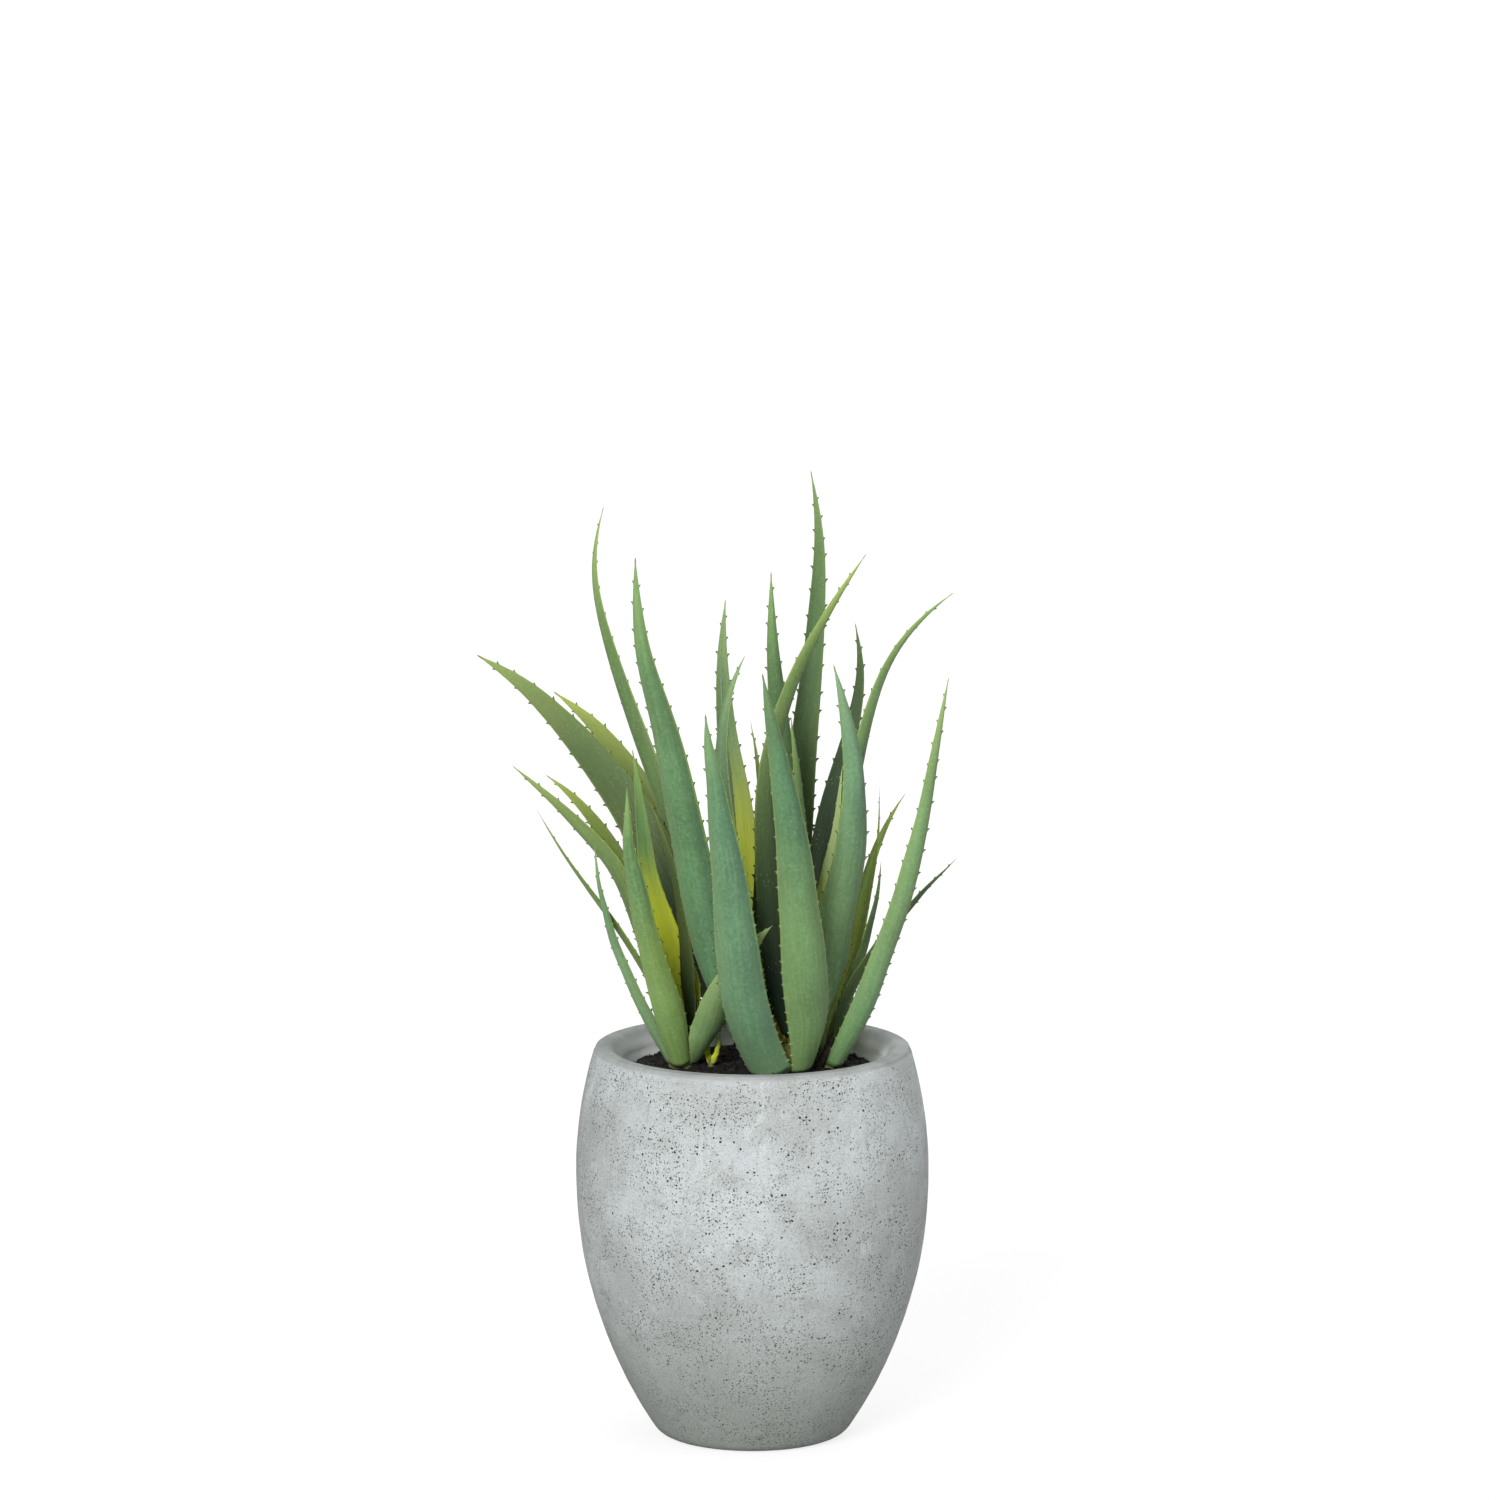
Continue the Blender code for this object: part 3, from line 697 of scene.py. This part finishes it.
def dry_scale(rosette, dice):
    """A thin pointed scale that grows from the stem and hugs it: its points, faces and shares."""
    around = dice.uniform(0, 360)
    low = dice.uniform(0.0, 0.75) * rosette.height
    tall = dice.uniform(0.5, 1.0) * rosette.height
    wide = dice.uniform(0.35, 0.6) * rosette.radius
    out = compass(around)
    side = np.array([-out[1], out[0], 0.0])
    points, shares = [], []
    for row in range(SCALE_ROWS):
        share = row / (SCALE_ROWS - 1)
        height = low + tall * share
        reach = stem_radius(rosette, min(low, rosette.height)) + SCALE_GAP + 0.18 * tall * share**2
        spread = wide * (1 - share**1.6) + 0.0003
        centre = np.array([rosette.x, rosette.y, SOIL_LEVEL + height])
        for face, thick in ((1, SCALE_HALF), (-1, -SCALE_HALF)):
            for k in range(SCALE_ACROSS):
                across = face * (2 * k / (SCALE_ACROSS - 1) - 1)
                curl = -0.35 * wide * across**2
                sag = 0.0008 * math.sin(9 * share + 5 * across + around)
                points.append(centre + out * (reach + curl + sag + thick) + side * (across * spread))
                shares.append(share)
    return points, rings_to_faces(SCALE_ROWS, 2 * SCALE_ACROSS), shares


# %% Build the stems
STEM_AROUND = 28
STEM_ROWS = 30
SCAR_PITCH = 0.0065
FEWEST_SCALES = 2
SCALES_PER_METRE = 500  # of the stem's radius


def build_stem(rosette):
    dice = random.Random(rosette.name)
    low, high = -1.2 * rosette.radius, rosette.height + DOME * rosette.top_radius
    points = []
    for row in range(STEM_ROWS):
        height = low + (high - low) * row / (STEM_ROWS - 1)
        scar = 0.05 * (abs((height / SCAR_PITCH) % 1 - 0.5) * 2) ** 3
        for k in range(STEM_AROUND):
            way = compass(360 * k / STEM_AROUND)
            rough = 0.04 * noise.noise(Vector(way * 3) + Vector((0, 0, height * 120)))
            reach = stem_radius(rosette, height) * (0.96 + scar + rough)
            points.append(np.array([rosette.x, rosette.y, SOIL_LEVEL + height]) + way * reach)
    faces = rings_to_faces(STEM_ROWS, STEM_AROUND)
    dry, along = [0.0] * len(points), [0.0] * len(points)
    for _ in range(max(FEWEST_SCALES, int(rosette.radius * SCALES_PER_METRE))):
        more, their_faces, shares = dry_scale(rosette, dice)
        start = len(points)
        points += more
        faces += [tuple(start + k for k in face) for face in their_faces]
        dry += [1.0] * len(more)
        along += shares
    name, values = rosette.name + "_stem", {"dry": dry, "along": along}
    return make_piece(name + "_bark", points, faces, STEM_BARK, [name], values)


stems = [build_stem(rosette) for rosette in ROSETTES]
print(len(stems), "stems")

# %% [markdown]
# ## The dry stub
# A dead flower stalk leans out of the soil on the right: black, ribbed where it has shrunk, and broken off
# with a ragged rim round a hollow middle. A Boolean could cut the hollow, but rings are simpler: the rim's
# points are pulled up and down at random, and two last rings go back down inside.

# %% Finish of the stub
def dry_stem():
    f = Finish("dry_stem")
    place = f.place()
    fibre = f.cloud(f.stretch(place, (900.0, 900.0, 120.0)), 1.0, 3.0)
    colour = fibre.between(0.35, 0.75).choose(paint(24, 20, 17), paint(72, 58, 44))
    f.shade(Base_Color=colour, Roughness=0.7 + fibre * 0.2, Normal=f.relief(fibre, 0.0008))
    return f.done()


# %% Build the stub
STUB_FOOT, STUB_HEAD = (0.060, -0.004, -0.006), (0.080, -0.014, 0.034)
STUB_RADIUS = 0.0044
STUB_AROUND = 36
STUB_ROWS = 22
STUB_INSIDE = [(0.97, 0.6), (0.86, 0.45)]  # (share of the length, share of the radius)
STUB_BEND = 0.003
TORN_FROM = 0.8  # share of the length


def build_stub():
    dice = random.Random("stub")
    foot, head = np.array(STUB_FOOT), np.array(STUB_HEAD)
    base = np.array([0.0, 0.0, SOIL_LEVEL])
    axis = (head - foot) / np.linalg.norm(head - foot)
    side = np.cross(axis, (0.0, 0.0, 1.0))
    side /= np.linalg.norm(side)
    upper = np.cross(side, axis)
    ragged = [dice.uniform(-0.0035, 0.001) for _ in range(STUB_AROUND)]
    rows = [(row / (STUB_ROWS - 1), 1.0) for row in range(STUB_ROWS)] + STUB_INSIDE
    points = []
    for share, wide in rows:
        bend = STUB_BEND * math.sin(math.pi * share)
        centre = base + foot + (head - foot) * share - upper * bend
        swollen = 1.15 - 0.35 * share + 0.12 * math.exp(-((share - 0.55) / 0.08) ** 2)
        for k in range(STUB_AROUND):
            angle = 2 * math.pi * k / STUB_AROUND
            rib = 1 - 0.12 * abs(math.sin(3.5 * angle + 1.5 * share))
            rib += 0.04 * math.sin(11 * angle + 9 * share)
            reach = STUB_RADIUS * swollen * rib * wide
            torn = ragged[k] * max(0.0, share - TORN_FROM) * 5 * wide
            point = centre + side * (reach * math.cos(angle)) + upper * (reach * math.sin(angle))
            points.append(point + axis * torn)
    faces = rings_to_faces(len(rows), STUB_AROUND)
    return make_piece("dry_stub_stalk", points, faces, dry_stem(), ["dry_stub"])


stub = build_stub()
print(len(stub.data.polygons), "faces in the stub")

# %% [markdown]
# ## Soil
# Damp peat is a crust of crumbs from dust to pea size, with chips of bark lying in it. Bump alone would leave
# its outline flat, so its surface is a fine polar grid lifted by three layers of noise. The crumbs and chips
# that catch the light are real lumps, each a twenty-sided ball squeezed and dented at random, and scattered
# with a fixed seed.

# %% Finish of the soil
def earth():
    f = Finish("earth")
    chip = f.value("chip")
    place = f.place()
    grain = f.cloud(place, 900.0, 3.0)
    broad = f.cloud(place, 120.0)
    colour = broad.between(0.35, 0.65).choose(paint(9, 7, 6), paint(20, 16, 12))
    bark = grain.between(0.3, 0.7).choose(paint(32, 22, 16), paint(66, 47, 32))
    colour = chip.choose(colour, bark)
    colour = (grain.between(0.66, 0.74) * 0.15).choose(colour, paint(110, 92, 70))
    f.shade(Base_Color=colour, Roughness=0.85 + grain * 0.15, Normal=f.relief(grain, 0.0012))
    return f.done()


EARTH = earth()

# %% Build the soil's crust
SOIL_AROUND = 300
SOIL_RINGS = 84
NECK_RADIUS = 0.1279
LOWER_WALL = {0.360: 0.1279, 0.338: 0.1415, 0.275: 0.1580, 0.170: 0.1490, 0.045: 0.1010, 0.0225: 0.0700}
EDGE_FALL = 0.004
SETTLED = 0.0012
LUMPS = ((55, 0.0022), (160, 0.0020), (420, 0.0012))  # (how many to a metre, height)


def crust_height(x, y):
    point = Vector((x, y, 0.0))
    reach = min(1.0, math.hypot(x, y) / NECK_RADIUS)
    lumps = sum(size * noise.noise(point * scale) for scale, size in LUMPS)
    return SOIL_LEVEL - EDGE_FALL * reach**4 + lumps - SETTLED


def build_crust():
    points = []
    for ring in range(1, SOIL_RINGS + 1):
        reach = NECK_RADIUS * ring / SOIL_RINGS
        for k in range(SOIL_AROUND):
            x, y, _ = compass(360 * k / SOIL_AROUND) * reach
            points.append((x, y, crust_height(x, y)))
    for height, reach in LOWER_WALL.items():
        points += [(*(compass(360 * k / SOIL_AROUND) * reach)[:2], height) for k in range(SOIL_AROUND)]
    faces = rings_to_faces(SOIL_RINGS + len(LOWER_WALL), SOIL_AROUND)
    values = {"chip": [0.0] * len(points)}
    return make_piece("soil_crust", points, faces, EARTH, ["soil"], values)


crust = build_crust()
print(len(crust.data.polygons), "faces in the crust")

# %% A ball to make crumbs from
def ball():
    """The corners and faces of a twenty-sided ball."""
    golden = (1 + 5**0.5) / 2
    corners = [(0, a, b * golden) for a in (-1, 1) for b in (-1, 1)]
    corners = [c for x, y, z in corners for c in ((x, y, z), (y, z, x), (z, x, y))]
    corners = np.array(corners, float)
    corners /= np.linalg.norm(corners[0])
    near = 1.2
    joined = np.linalg.norm(corners[:, None] - corners[None], axis=2) < near
    faces = []
    for a, b, c in combinations(range(len(corners)), 3):
        if joined[a, b] and joined[b, c] and joined[a, c]:
            out = np.dot(np.cross(corners[b] - corners[a], corners[c] - corners[a]), corners[a])
            faces.append((a, b, c) if out > 0 else (a, c, b))
    return corners, faces


def swing(points, angle, one, other):
    """Points turned by this angle, from one axis towards the other."""
    turned = points.copy()
    turned[:, one] = points[:, one] * math.cos(angle) - points[:, other] * math.sin(angle)
    turned[:, other] = points[:, one] * math.sin(angle) + points[:, other] * math.cos(angle)
    return turned


# %% Scatter the crumbs and chips
CRUMBS = 1500
CHIPS = 150
CLEAR_OF_WALL = 0.004
CLEAR_OF_STEM = 0.001


def lump_size(dice, is_chip):
    size = dice.uniform(0.0008, 0.0028)
    shape = [size, size * dice.uniform(0.6, 1.0), size * dice.uniform(0.5, 0.9)]
    if is_chip:
        shape = [dice.uniform(0.003, 0.008), dice.uniform(0.0015, 0.0035), dice.uniform(0.0007, 0.0015)]
    return np.array(shape)


def build_crumbs():
    dice = random.Random("crumbs")
    corners, ball_faces = ball()
    points, faces, chips = [], [], []
    for number in range(CRUMBS + CHIPS):
        is_chip = number >= CRUMBS
        reach = (NECK_RADIUS - CLEAR_OF_WALL) * math.sqrt(dice.random())
        x, y, _ = compass(360 * dice.random()) * reach
        if any(math.hypot(x - r.x, y - r.y) < r.radius + CLEAR_OF_STEM for r in ROSETTES):
            continue
        shape = lump_size(dice, is_chip)
        turn, tip = dice.uniform(0, 2 * math.pi), dice.uniform(-0.5, 0.5)
        dent = np.array([dice.uniform(0.75, 1.2) for _ in corners])[:, None]
        lump = swing(swing(corners * dent * shape, tip, 0, 2), turn, 0, 1)
        start = len(points)
        points += list(lump + np.array([x, y, crust_height(x, y) + 0.35 * shape[2]]))
        faces += [tuple(start + k for k in face) for face in ball_faces]
        chips += [float(is_chip)] * len(corners)
    piece = make_piece("soil_crumbs", points, faces, EARTH, [], {"chip": chips})
    piece.data.shade_flat()
    return piece


crumbs = build_crumbs()
print(len(crumbs.data.polygons) // len(ball()[1]), "crumbs and chips on the soil")

# %% [markdown]
# ## Planter
# The planter is cast in a mould from a light cement, and its skin is full of small holes left by air. Its
# lip is rubbed smooth. A turned profile gives the body. The bigger holes could be cut with Booleans, but
# thousands of cuts are slow, so a cell of the grid is swapped for a rim, a wall and a bottom. Pinholes and
# grit, too small for the mesh, are left to the finish.

# %% The planter's sizes, in metres
planter_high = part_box("planter")[1]
TOP, BELLY = planter_high.z, planter_high.x
BELLY_HEIGHT = 0.268
RIM_RADIUS = 0.1585
WALL_AT_GROUND = 0.094
FOOT_RADIUS = 0.082
FOOT_ROUNDING = 0.009
WALL = 0.016
NECK = RIM_RADIUS - 0.026
LIP_SLOPE = 0.014
LIP_DEPTH = 0.021
OUTER_ROUNDING = 0.003
NECK_BOTTOM = 0.358
INSIDE_BOTTOM = 0.022
INSIDE_TOP = 0.343
AXIS_GAP = 0.002
ROW_PITCH = 0.0033
PLANTER_AROUND = 324
BARE = (0, 0)
LIP = (1, 0)
BODY = (0, 1)


def body_radius(height):
    """The outer radius at a height: one arc above the belly and one below."""
    if height > BELLY_HEIGHT:
        rise, drop = TOP - BELLY_HEIGHT, BELLY - RIM_RADIUS
    else:
        rise, drop = BELLY_HEIGHT, BELLY - WALL_AT_GROUND
    radius = (rise**2 + drop**2) / (2 * drop)
    return BELLY - radius + math.sqrt(radius**2 - (height - BELLY_HEIGHT) ** 2)


# %% The planter's outline
def inside_rows():
    """Rings of the hollow, from the bottom up to the throat under the lip."""
    rows = [(AXIS_GAP, INSIDE_BOTTOM, *BARE), (0.05, INSIDE_BOTTOM, *BARE)]
    for height in np.linspace(INSIDE_BOTTOM, INSIDE_TOP, 9):
        rows.append((body_radius(height) - WALL, height, *BARE))
    for share in np.linspace(0.0, 1.0, 7):
        height = NECK_BOTTOM + (TOP - LIP_DEPTH - NECK_BOTTOM) * share
        rows.append((NECK - 0.004 * (1 - share) ** 0.5, height, *LIP))
    return rows


def lip_rows():
    """Rings of the lip: a rolled inner slope, a level land and a small rounding outside."""
    rows = []
    for degrees in range(10, 91, 10):
        angle = math.radians(degrees)
        radius = NECK + LIP_SLOPE * (1 - math.cos(angle))
        rows.append((radius, TOP - LIP_DEPTH * (1 - math.sin(angle)), *LIP))
    land_start, land_end = NECK + LIP_SLOPE, RIM_RADIUS - OUTER_ROUNDING
    for share in (0.2, 0.4, 0.6, 0.8):
        rows.append((land_start + (land_end - land_start) * share, TOP, *LIP))
    for degrees in range(90, -1, -15):
        angle = math.radians(degrees)
        radius = land_end + OUTER_ROUNDING * math.cos(angle)
        rows.append((radius, TOP - OUTER_ROUNDING * (1 - math.sin(angle)), *LIP))
    return rows


def outside_rows():
    """Rings of the pitted body, then of the rounded foot and the underside."""
    rows, height = [], TOP - OUTER_ROUNDING - ROW_PITCH
    while height > FOOT_ROUNDING:
        slope = (body_radius(height + 0.001) - body_radius(height - 0.001)) / 0.002
        rows.append((body_radius(height), height, *BODY))
        height -= ROW_PITCH / math.sqrt(1 + slope**2)
    for down in np.linspace(0.0, 1.0, 9)[1:]:
        left = 1 - down
        radius = left**2 * body_radius(FOOT_ROUNDING) + 2 * left * down * WALL_AT_GROUND
        rows.append((radius + down**2 * FOOT_RADIUS, left**2 * FOOT_ROUNDING, *BARE))
    return rows + [(0.06, 0.0, *BARE), (AXIS_GAP, 0.0, *BARE)]


rows = inside_rows() + lip_rows() + outside_rows()
print(len(rows), "rings of", PLANTER_AROUND)

# %% The cement's ground colour
def cement_ground(f, place, lip, grit, drag):
    """Cloudy pale cement, drag marks of the mould, darker towards the foot with dirt and painted shade, a
    rubbed lip and a neck painted light inside it.
    """
    height = f.node("SeparateXYZ", {}, {"Vector": place}, "Z")
    patches = f.cloud(place, 7.0, 3.0, 0.55)
    blots = f.cloud(place, 32.0, 6.0, 0.7)
    streaks = f.cloud(f.stretch(place, (190.0, 190.0, 26.0)), 1.0, 4.0, 0.65)
    colour = patches.between(0.36, 0.64).choose(paint(184, 189, 188), paint(204, 210, 211))
    colour = (blots.between(0.50, 0.66) * 0.40).choose(colour, paint(164, 167, 161))
    colour = ((1 - blots.between(0.32, 0.44)) * 0.5).choose(colour, paint(222, 228, 229))
    colour = (drag.between(0.52, 0.70) * 0.22).choose(colour, paint(152, 155, 150))
    colour = (streaks.between(0.54, 0.70) * 0.30).choose(colour, paint(150, 152, 146))
    # Darker towards the foot: partly dirt, partly painted shade.
    low = 1 - height.between(0.0, 0.25)
    colour = (low * (0.45 + patches * 0.5)).choose(colour, paint(138, 143, 134))
    colour = (grit.between(0.52, 0.68) * 0.45).choose(colour, paint(138, 140, 134))
    colour = ((1 - grit.between(0.30, 0.44)) * 0.4).choose(colour, paint(228, 232, 232))
    colour = (lip * (0.55 + blots.between(0.4, 0.7) * 0.3)).choose(colour, paint(146, 149, 148))
    # Painted light: the neck inside the lip is painted near white where the leaves shade it.
    neck_painted_light = lip * (1 - height.between(TOP - 0.014, TOP - 0.001))
    return neck_painted_light.choose(colour, paint(240, 243, 243))


# %% The cement's pinholes
def cement_pits(f, place, lip):
    """Where the pinholes are: pins in clusters and in a band under the lip, spots and flecks all over."""
    height = f.node("SeparateXYZ", {}, {"Vector": place}, "Z")
    bent = f.stretch(f.drift(place, 300.0), (0.0022,) * 3)
    warp = f.node("VectorMath", {"operation": "ADD"}, {0: place, 1: bent})
    clusters = f.cloud(place, 24.0, 3.0, 0.6).between(0.42, 0.58)
    band = height.between(TOP - 0.040, TOP - 0.026) * (1 - height.between(TOP - 0.020, TOP - 0.012))
    crowd = clusters.most(band * 0.8)
    pins = (1 - f.cells(warp, 340.0).between(0.18, 0.28)) * crowd
    spots = (1 - f.cells(warp, 150.0).between(0.10, 0.16)) * (0.35 + crowd * 0.65)
    flecks = (1 - f.cells(f.stretch(warp, (1.0, 1.0, 2.2)), 520.0).between(0.14, 0.26)) * 0.55
    return pins.most(spots).most(flecks) * (1 - lip)


# %% Finish of the planter
def cement():
    f = Finish("cement")
    hole, lip, place = f.value("hole"), f.value("lip"), f.place()
    grit = f.cloud(place, 650.0, 4.0, 0.7)
    drag = f.cloud(f.stretch(place, (30.0, 30.0, 260.0)), 1.0, 4.0, 0.6)
    pitted = cement_pits(f, place, lip)
    colour = cement_ground(f, place, lip, grit, drag)
    # Painted shade: the pinholes, and the walls and bottoms of the air holes, are darkened.
    colour = (pitted * 0.85).choose(colour, paint(94, 92, 80))
    colour = hole.between(0.1, 0.9).choose(colour, paint(72, 68, 56))
    relief = f.relief(grit * 0.3 + drag * 0.25 - pitted, 0.0007)
    f.shade(Base_Color=colour, Roughness=0.82 + grit * 0.16 - lip * 0.1, Normal=relief)
    f.shade(Specular_IOR_Level=0.3)
    return f.done()


CEMENT = cement()

# %% How likely a hole is
HOLE_SHARE = 0.11
MOST_HOLES = 0.26
BAND_DOWN, BAND_HALF = 0.028, 0.010  # the crowded band under the lip


def hole_chance(point):
    """How likely a cell at this point is to hold an air hole."""
    cluster = noise.noise(Vector(point) * 22) + 0.7 * noise.noise(Vector(point) * 60)
    band = math.exp(-((point[2] - (TOP - BAND_DOWN)) / BAND_HALF) ** 2)
    return min(MOST_HOLES, HOLE_SHARE * max(0.12, 0.9 + 3.0 * cluster) * (1 + 1.5 * band))


# %% Cut one air hole
SIDES = 8
FIRST_CORNER = -math.radians(112.5)


def add_hole(points, faces, holes, corners, dice):
    """Swaps one cell for an air hole: eight points for its rim, eight for its wall and one for its bottom."""
    cell = np.array([points[k] for k in corners])
    middle = cell.mean(axis=0)
    u, v = cell[1] - cell[0], cell[3] - cell[0]
    inward = np.cross(v, u)
    inward /= np.linalg.norm(inward)
    room = 0.5 * min(np.linalg.norm(u), np.linalg.norm(v))
    size = room * min(0.88, dice.lognormvariate(-0.80, 0.42))
    shift = (room * 0.92 - size) * np.array([dice.uniform(-1, 1), dice.uniform(-1, 1)])
    u, v = u / np.linalg.norm(u), v / np.linalg.norm(v)
    middle = middle + u * shift[0] + v * shift[1]
    long, turn, deep = dice.uniform(0.6, 1.0), dice.uniform(0, math.pi), size * dice.uniform(0.7, 1.3)
    start = len(points)
    for reach, depth, mark in ((1.0, 0.0, 0.0), (0.84, 0.45, 1.0)):
        for k in range(SIDES):
            angle = FIRST_CORNER + 2 * math.pi / SIDES * k
            x, y = math.cos(angle), math.sin(angle)
            across = x * math.cos(turn) + y * math.sin(turn)
            squeeze = 1 - (1 - long) * across**2
            r = size * reach * squeeze * dice.uniform(0.88, 1.1)
            points.append(middle + u * (x * r) + v * (y * r) + inward * (deep * depth))
            holes.append(mark)
    points.append(middle + inward * deep)
    holes.append(1.0)
    rim, wall, bottom = start, start + SIDES, start + 2 * SIDES
    for k in range(4):
        a, b, c = corners[k], corners[(k + 1) % 4], rim + 2 * k
        faces.append((a, c + 1, c))
        faces.append((a, b, rim + (2 * k + 2) % SIDES, c + 1))
    for k in range(SIDES):
        n = (k + 1) % SIDES
        faces.append((rim + k, rim + n, wall + n, wall + k))
        faces.append((wall + k, wall + n, bottom))


# %% Build the planter
STEADY_INSIDE = 0.07  # rings of a smaller radius aren't made uneven


def build_planter():
    dice = random.Random("air holes")
    points, lips, holes = [], [], []
    for radius, height, is_lip, _ in rows:
        for k in range(PLANTER_AROUND):
            way = compass(360 * k / PLANTER_AROUND)
            spot = Vector((way[0] * radius, way[1] * radius, height))
            uneven = 0.0005 * noise.noise(spot * 14) + 0.00022 * noise.noise(spot * 70)
            points.append(np.array(spot) + way * (uneven * (radius > STEADY_INSIDE)))
            lips.append(float(is_lip))
            holes.append(0.0)
    faces, count = [], 0
    for ring in range(len(rows) - 1):
        pitted = rows[ring][3] and rows[ring + 1][3]
        a, b = ring * PLANTER_AROUND, (ring + 1) * PLANTER_AROUND
        for k in range(PLANTER_AROUND):
            n = (k + 1) % PLANTER_AROUND
            corners = (a + k, b + k, b + n, a + n)
            if pitted and dice.random() < hole_chance(points[corners[0]]):
                add_hole(points, faces, holes, corners, dice)
                count += 1
            else:
                faces.append(corners)
    faces.append(tuple(range(PLANTER_AROUND)))
    last = (len(rows) - 1) * PLANTER_AROUND
    faces.append(tuple(reversed(range(last, last + PLANTER_AROUND))))
    lips += [0.0] * (len(points) - len(lips))
    print(count, "air holes,", len(faces), "faces")
    values = {"lip": lips, "hole": holes}
    return make_piece("planter_shell", points, faces, CEMENT, ["planter"], values)


build_planter()

# %% [markdown]
# ## Floor, light and camera
# The plant stands on a plain white floor in soft light. One wide lamp in front on the left is the key, one on
# the right fills, a third lights the leaf tips from above, and one behind keeps the back readable. Near lamps
# would leave the floor dark at its far edge, so all are very distant and light it alike. A thin veil of light
# over the floor, which only the camera sees, lifts it to white but leaves the shadow. The world behind is
# white too, and lights the plant at less than a fifth of that strength. A long lens far away keeps the
# planter's sides nearly parallel.

# %% Floor
FLOOR_VEIL = 0.5
VEIL_LIGHT = 1.6
FLOOR_HALF = 30.0
WHITE = (1.0, 1.0, 1.0, 1.0)


def floor_finish():
    f = Finish("floor")
    colour = f.cloud(f.place(), 0.4).choose(paint(190, 190, 190), paint(194, 194, 194))
    f.shade(Base_Color=colour, Roughness=0.9)
    seen = f.node("LightPath", {}, {}, "Is Camera Ray")
    veil = f.node("Emission", {}, {"Color": WHITE, "Strength": VEIL_LIGHT})
    body = Wire(f, f.shader.outputs["BSDF"])
    mixed = f.node("MixShader", {}, {0: seen * FLOOR_VEIL, 1: body, 2: veil})
    f.plug(f.tree.nodes["Material Output"].inputs["Surface"], mixed)
    return f.done()


floor_mesh = bpy.data.meshes.new("floor")
corners = [(x * FLOOR_HALF, y * FLOOR_HALF, 0.0) for x, y in ((-1, -1), (1, -1), (1, 1), (-1, 1))]
floor_mesh.from_pydata(corners, [], [(0, 1, 2, 3)])
floor_mesh.materials.append(floor_finish())
floor = bpy.data.objects.new("floor", floor_mesh)
bpy.context.scene.collection.objects.link(floor)

# %% Lamps
def add_lamp(name, towards, softness, strength):
    """A very distant lamp that shines from this direction. Its softness is the angle it fills, in degrees."""
    lamp = bpy.data.objects.new(name, bpy.data.lights.new(name, "SUN"))
    lamp.data.energy = strength
    lamp.data.angle = math.radians(softness)
    lamp.rotation_euler = Vector(towards).to_track_quat("Z", "Y").to_euler()
    bpy.context.scene.collection.objects.link(lamp)
    print(f"{name} lamp, {strength} strong")


add_lamp("key", (-0.40, -1.0, 0.58), 24.0, 2.35)
add_lamp("fill", (1.0, -0.75, 0.40), 50.0, 0.60)
add_lamp("top", (0.1, -0.1, 1.0), 60.0, 0.80)
add_lamp("rear", (0.3, 1.0, 0.7), 60.0, 0.80)

# %% World
SKY_LIGHT = 0.18


def studio():
    f = Finish("studio", "worlds", "Background")
    seen = f.node("LightPath", {}, {}, "Is Camera Ray")
    f.shade(Color=WHITE, Strength=seen * (1 - SKY_LIGHT) + SKY_LIGHT)
    return f.done()


bpy.context.scene.world = studio()
bpy.context.scene.view_settings.view_transform = "Standard"

# %% Camera
CAMERA_PLACE = Vector((-0.0025, -7.0, 1.823))
CAMERA_AIM = Vector((-0.0025, 0.0, 0.699))
FRAME_WIDTH = 1.5  # metres seen across the aim
SENSOR = 36.0  # mm
sight = CAMERA_AIM - CAMERA_PLACE
camera = bpy.data.objects.new("camera", bpy.data.cameras.new("camera"))
camera.data.sensor_width = SENSOR
camera.data.lens = SENSOR * sight.length / FRAME_WIDTH
camera.location = CAMERA_PLACE
camera.rotation_euler = sight.to_track_quat("-Z", "Y").to_euler()
bpy.context.scene.collection.objects.link(camera)
bpy.context.scene.camera = camera
print(f"lens {camera.data.lens:.0f} mm")
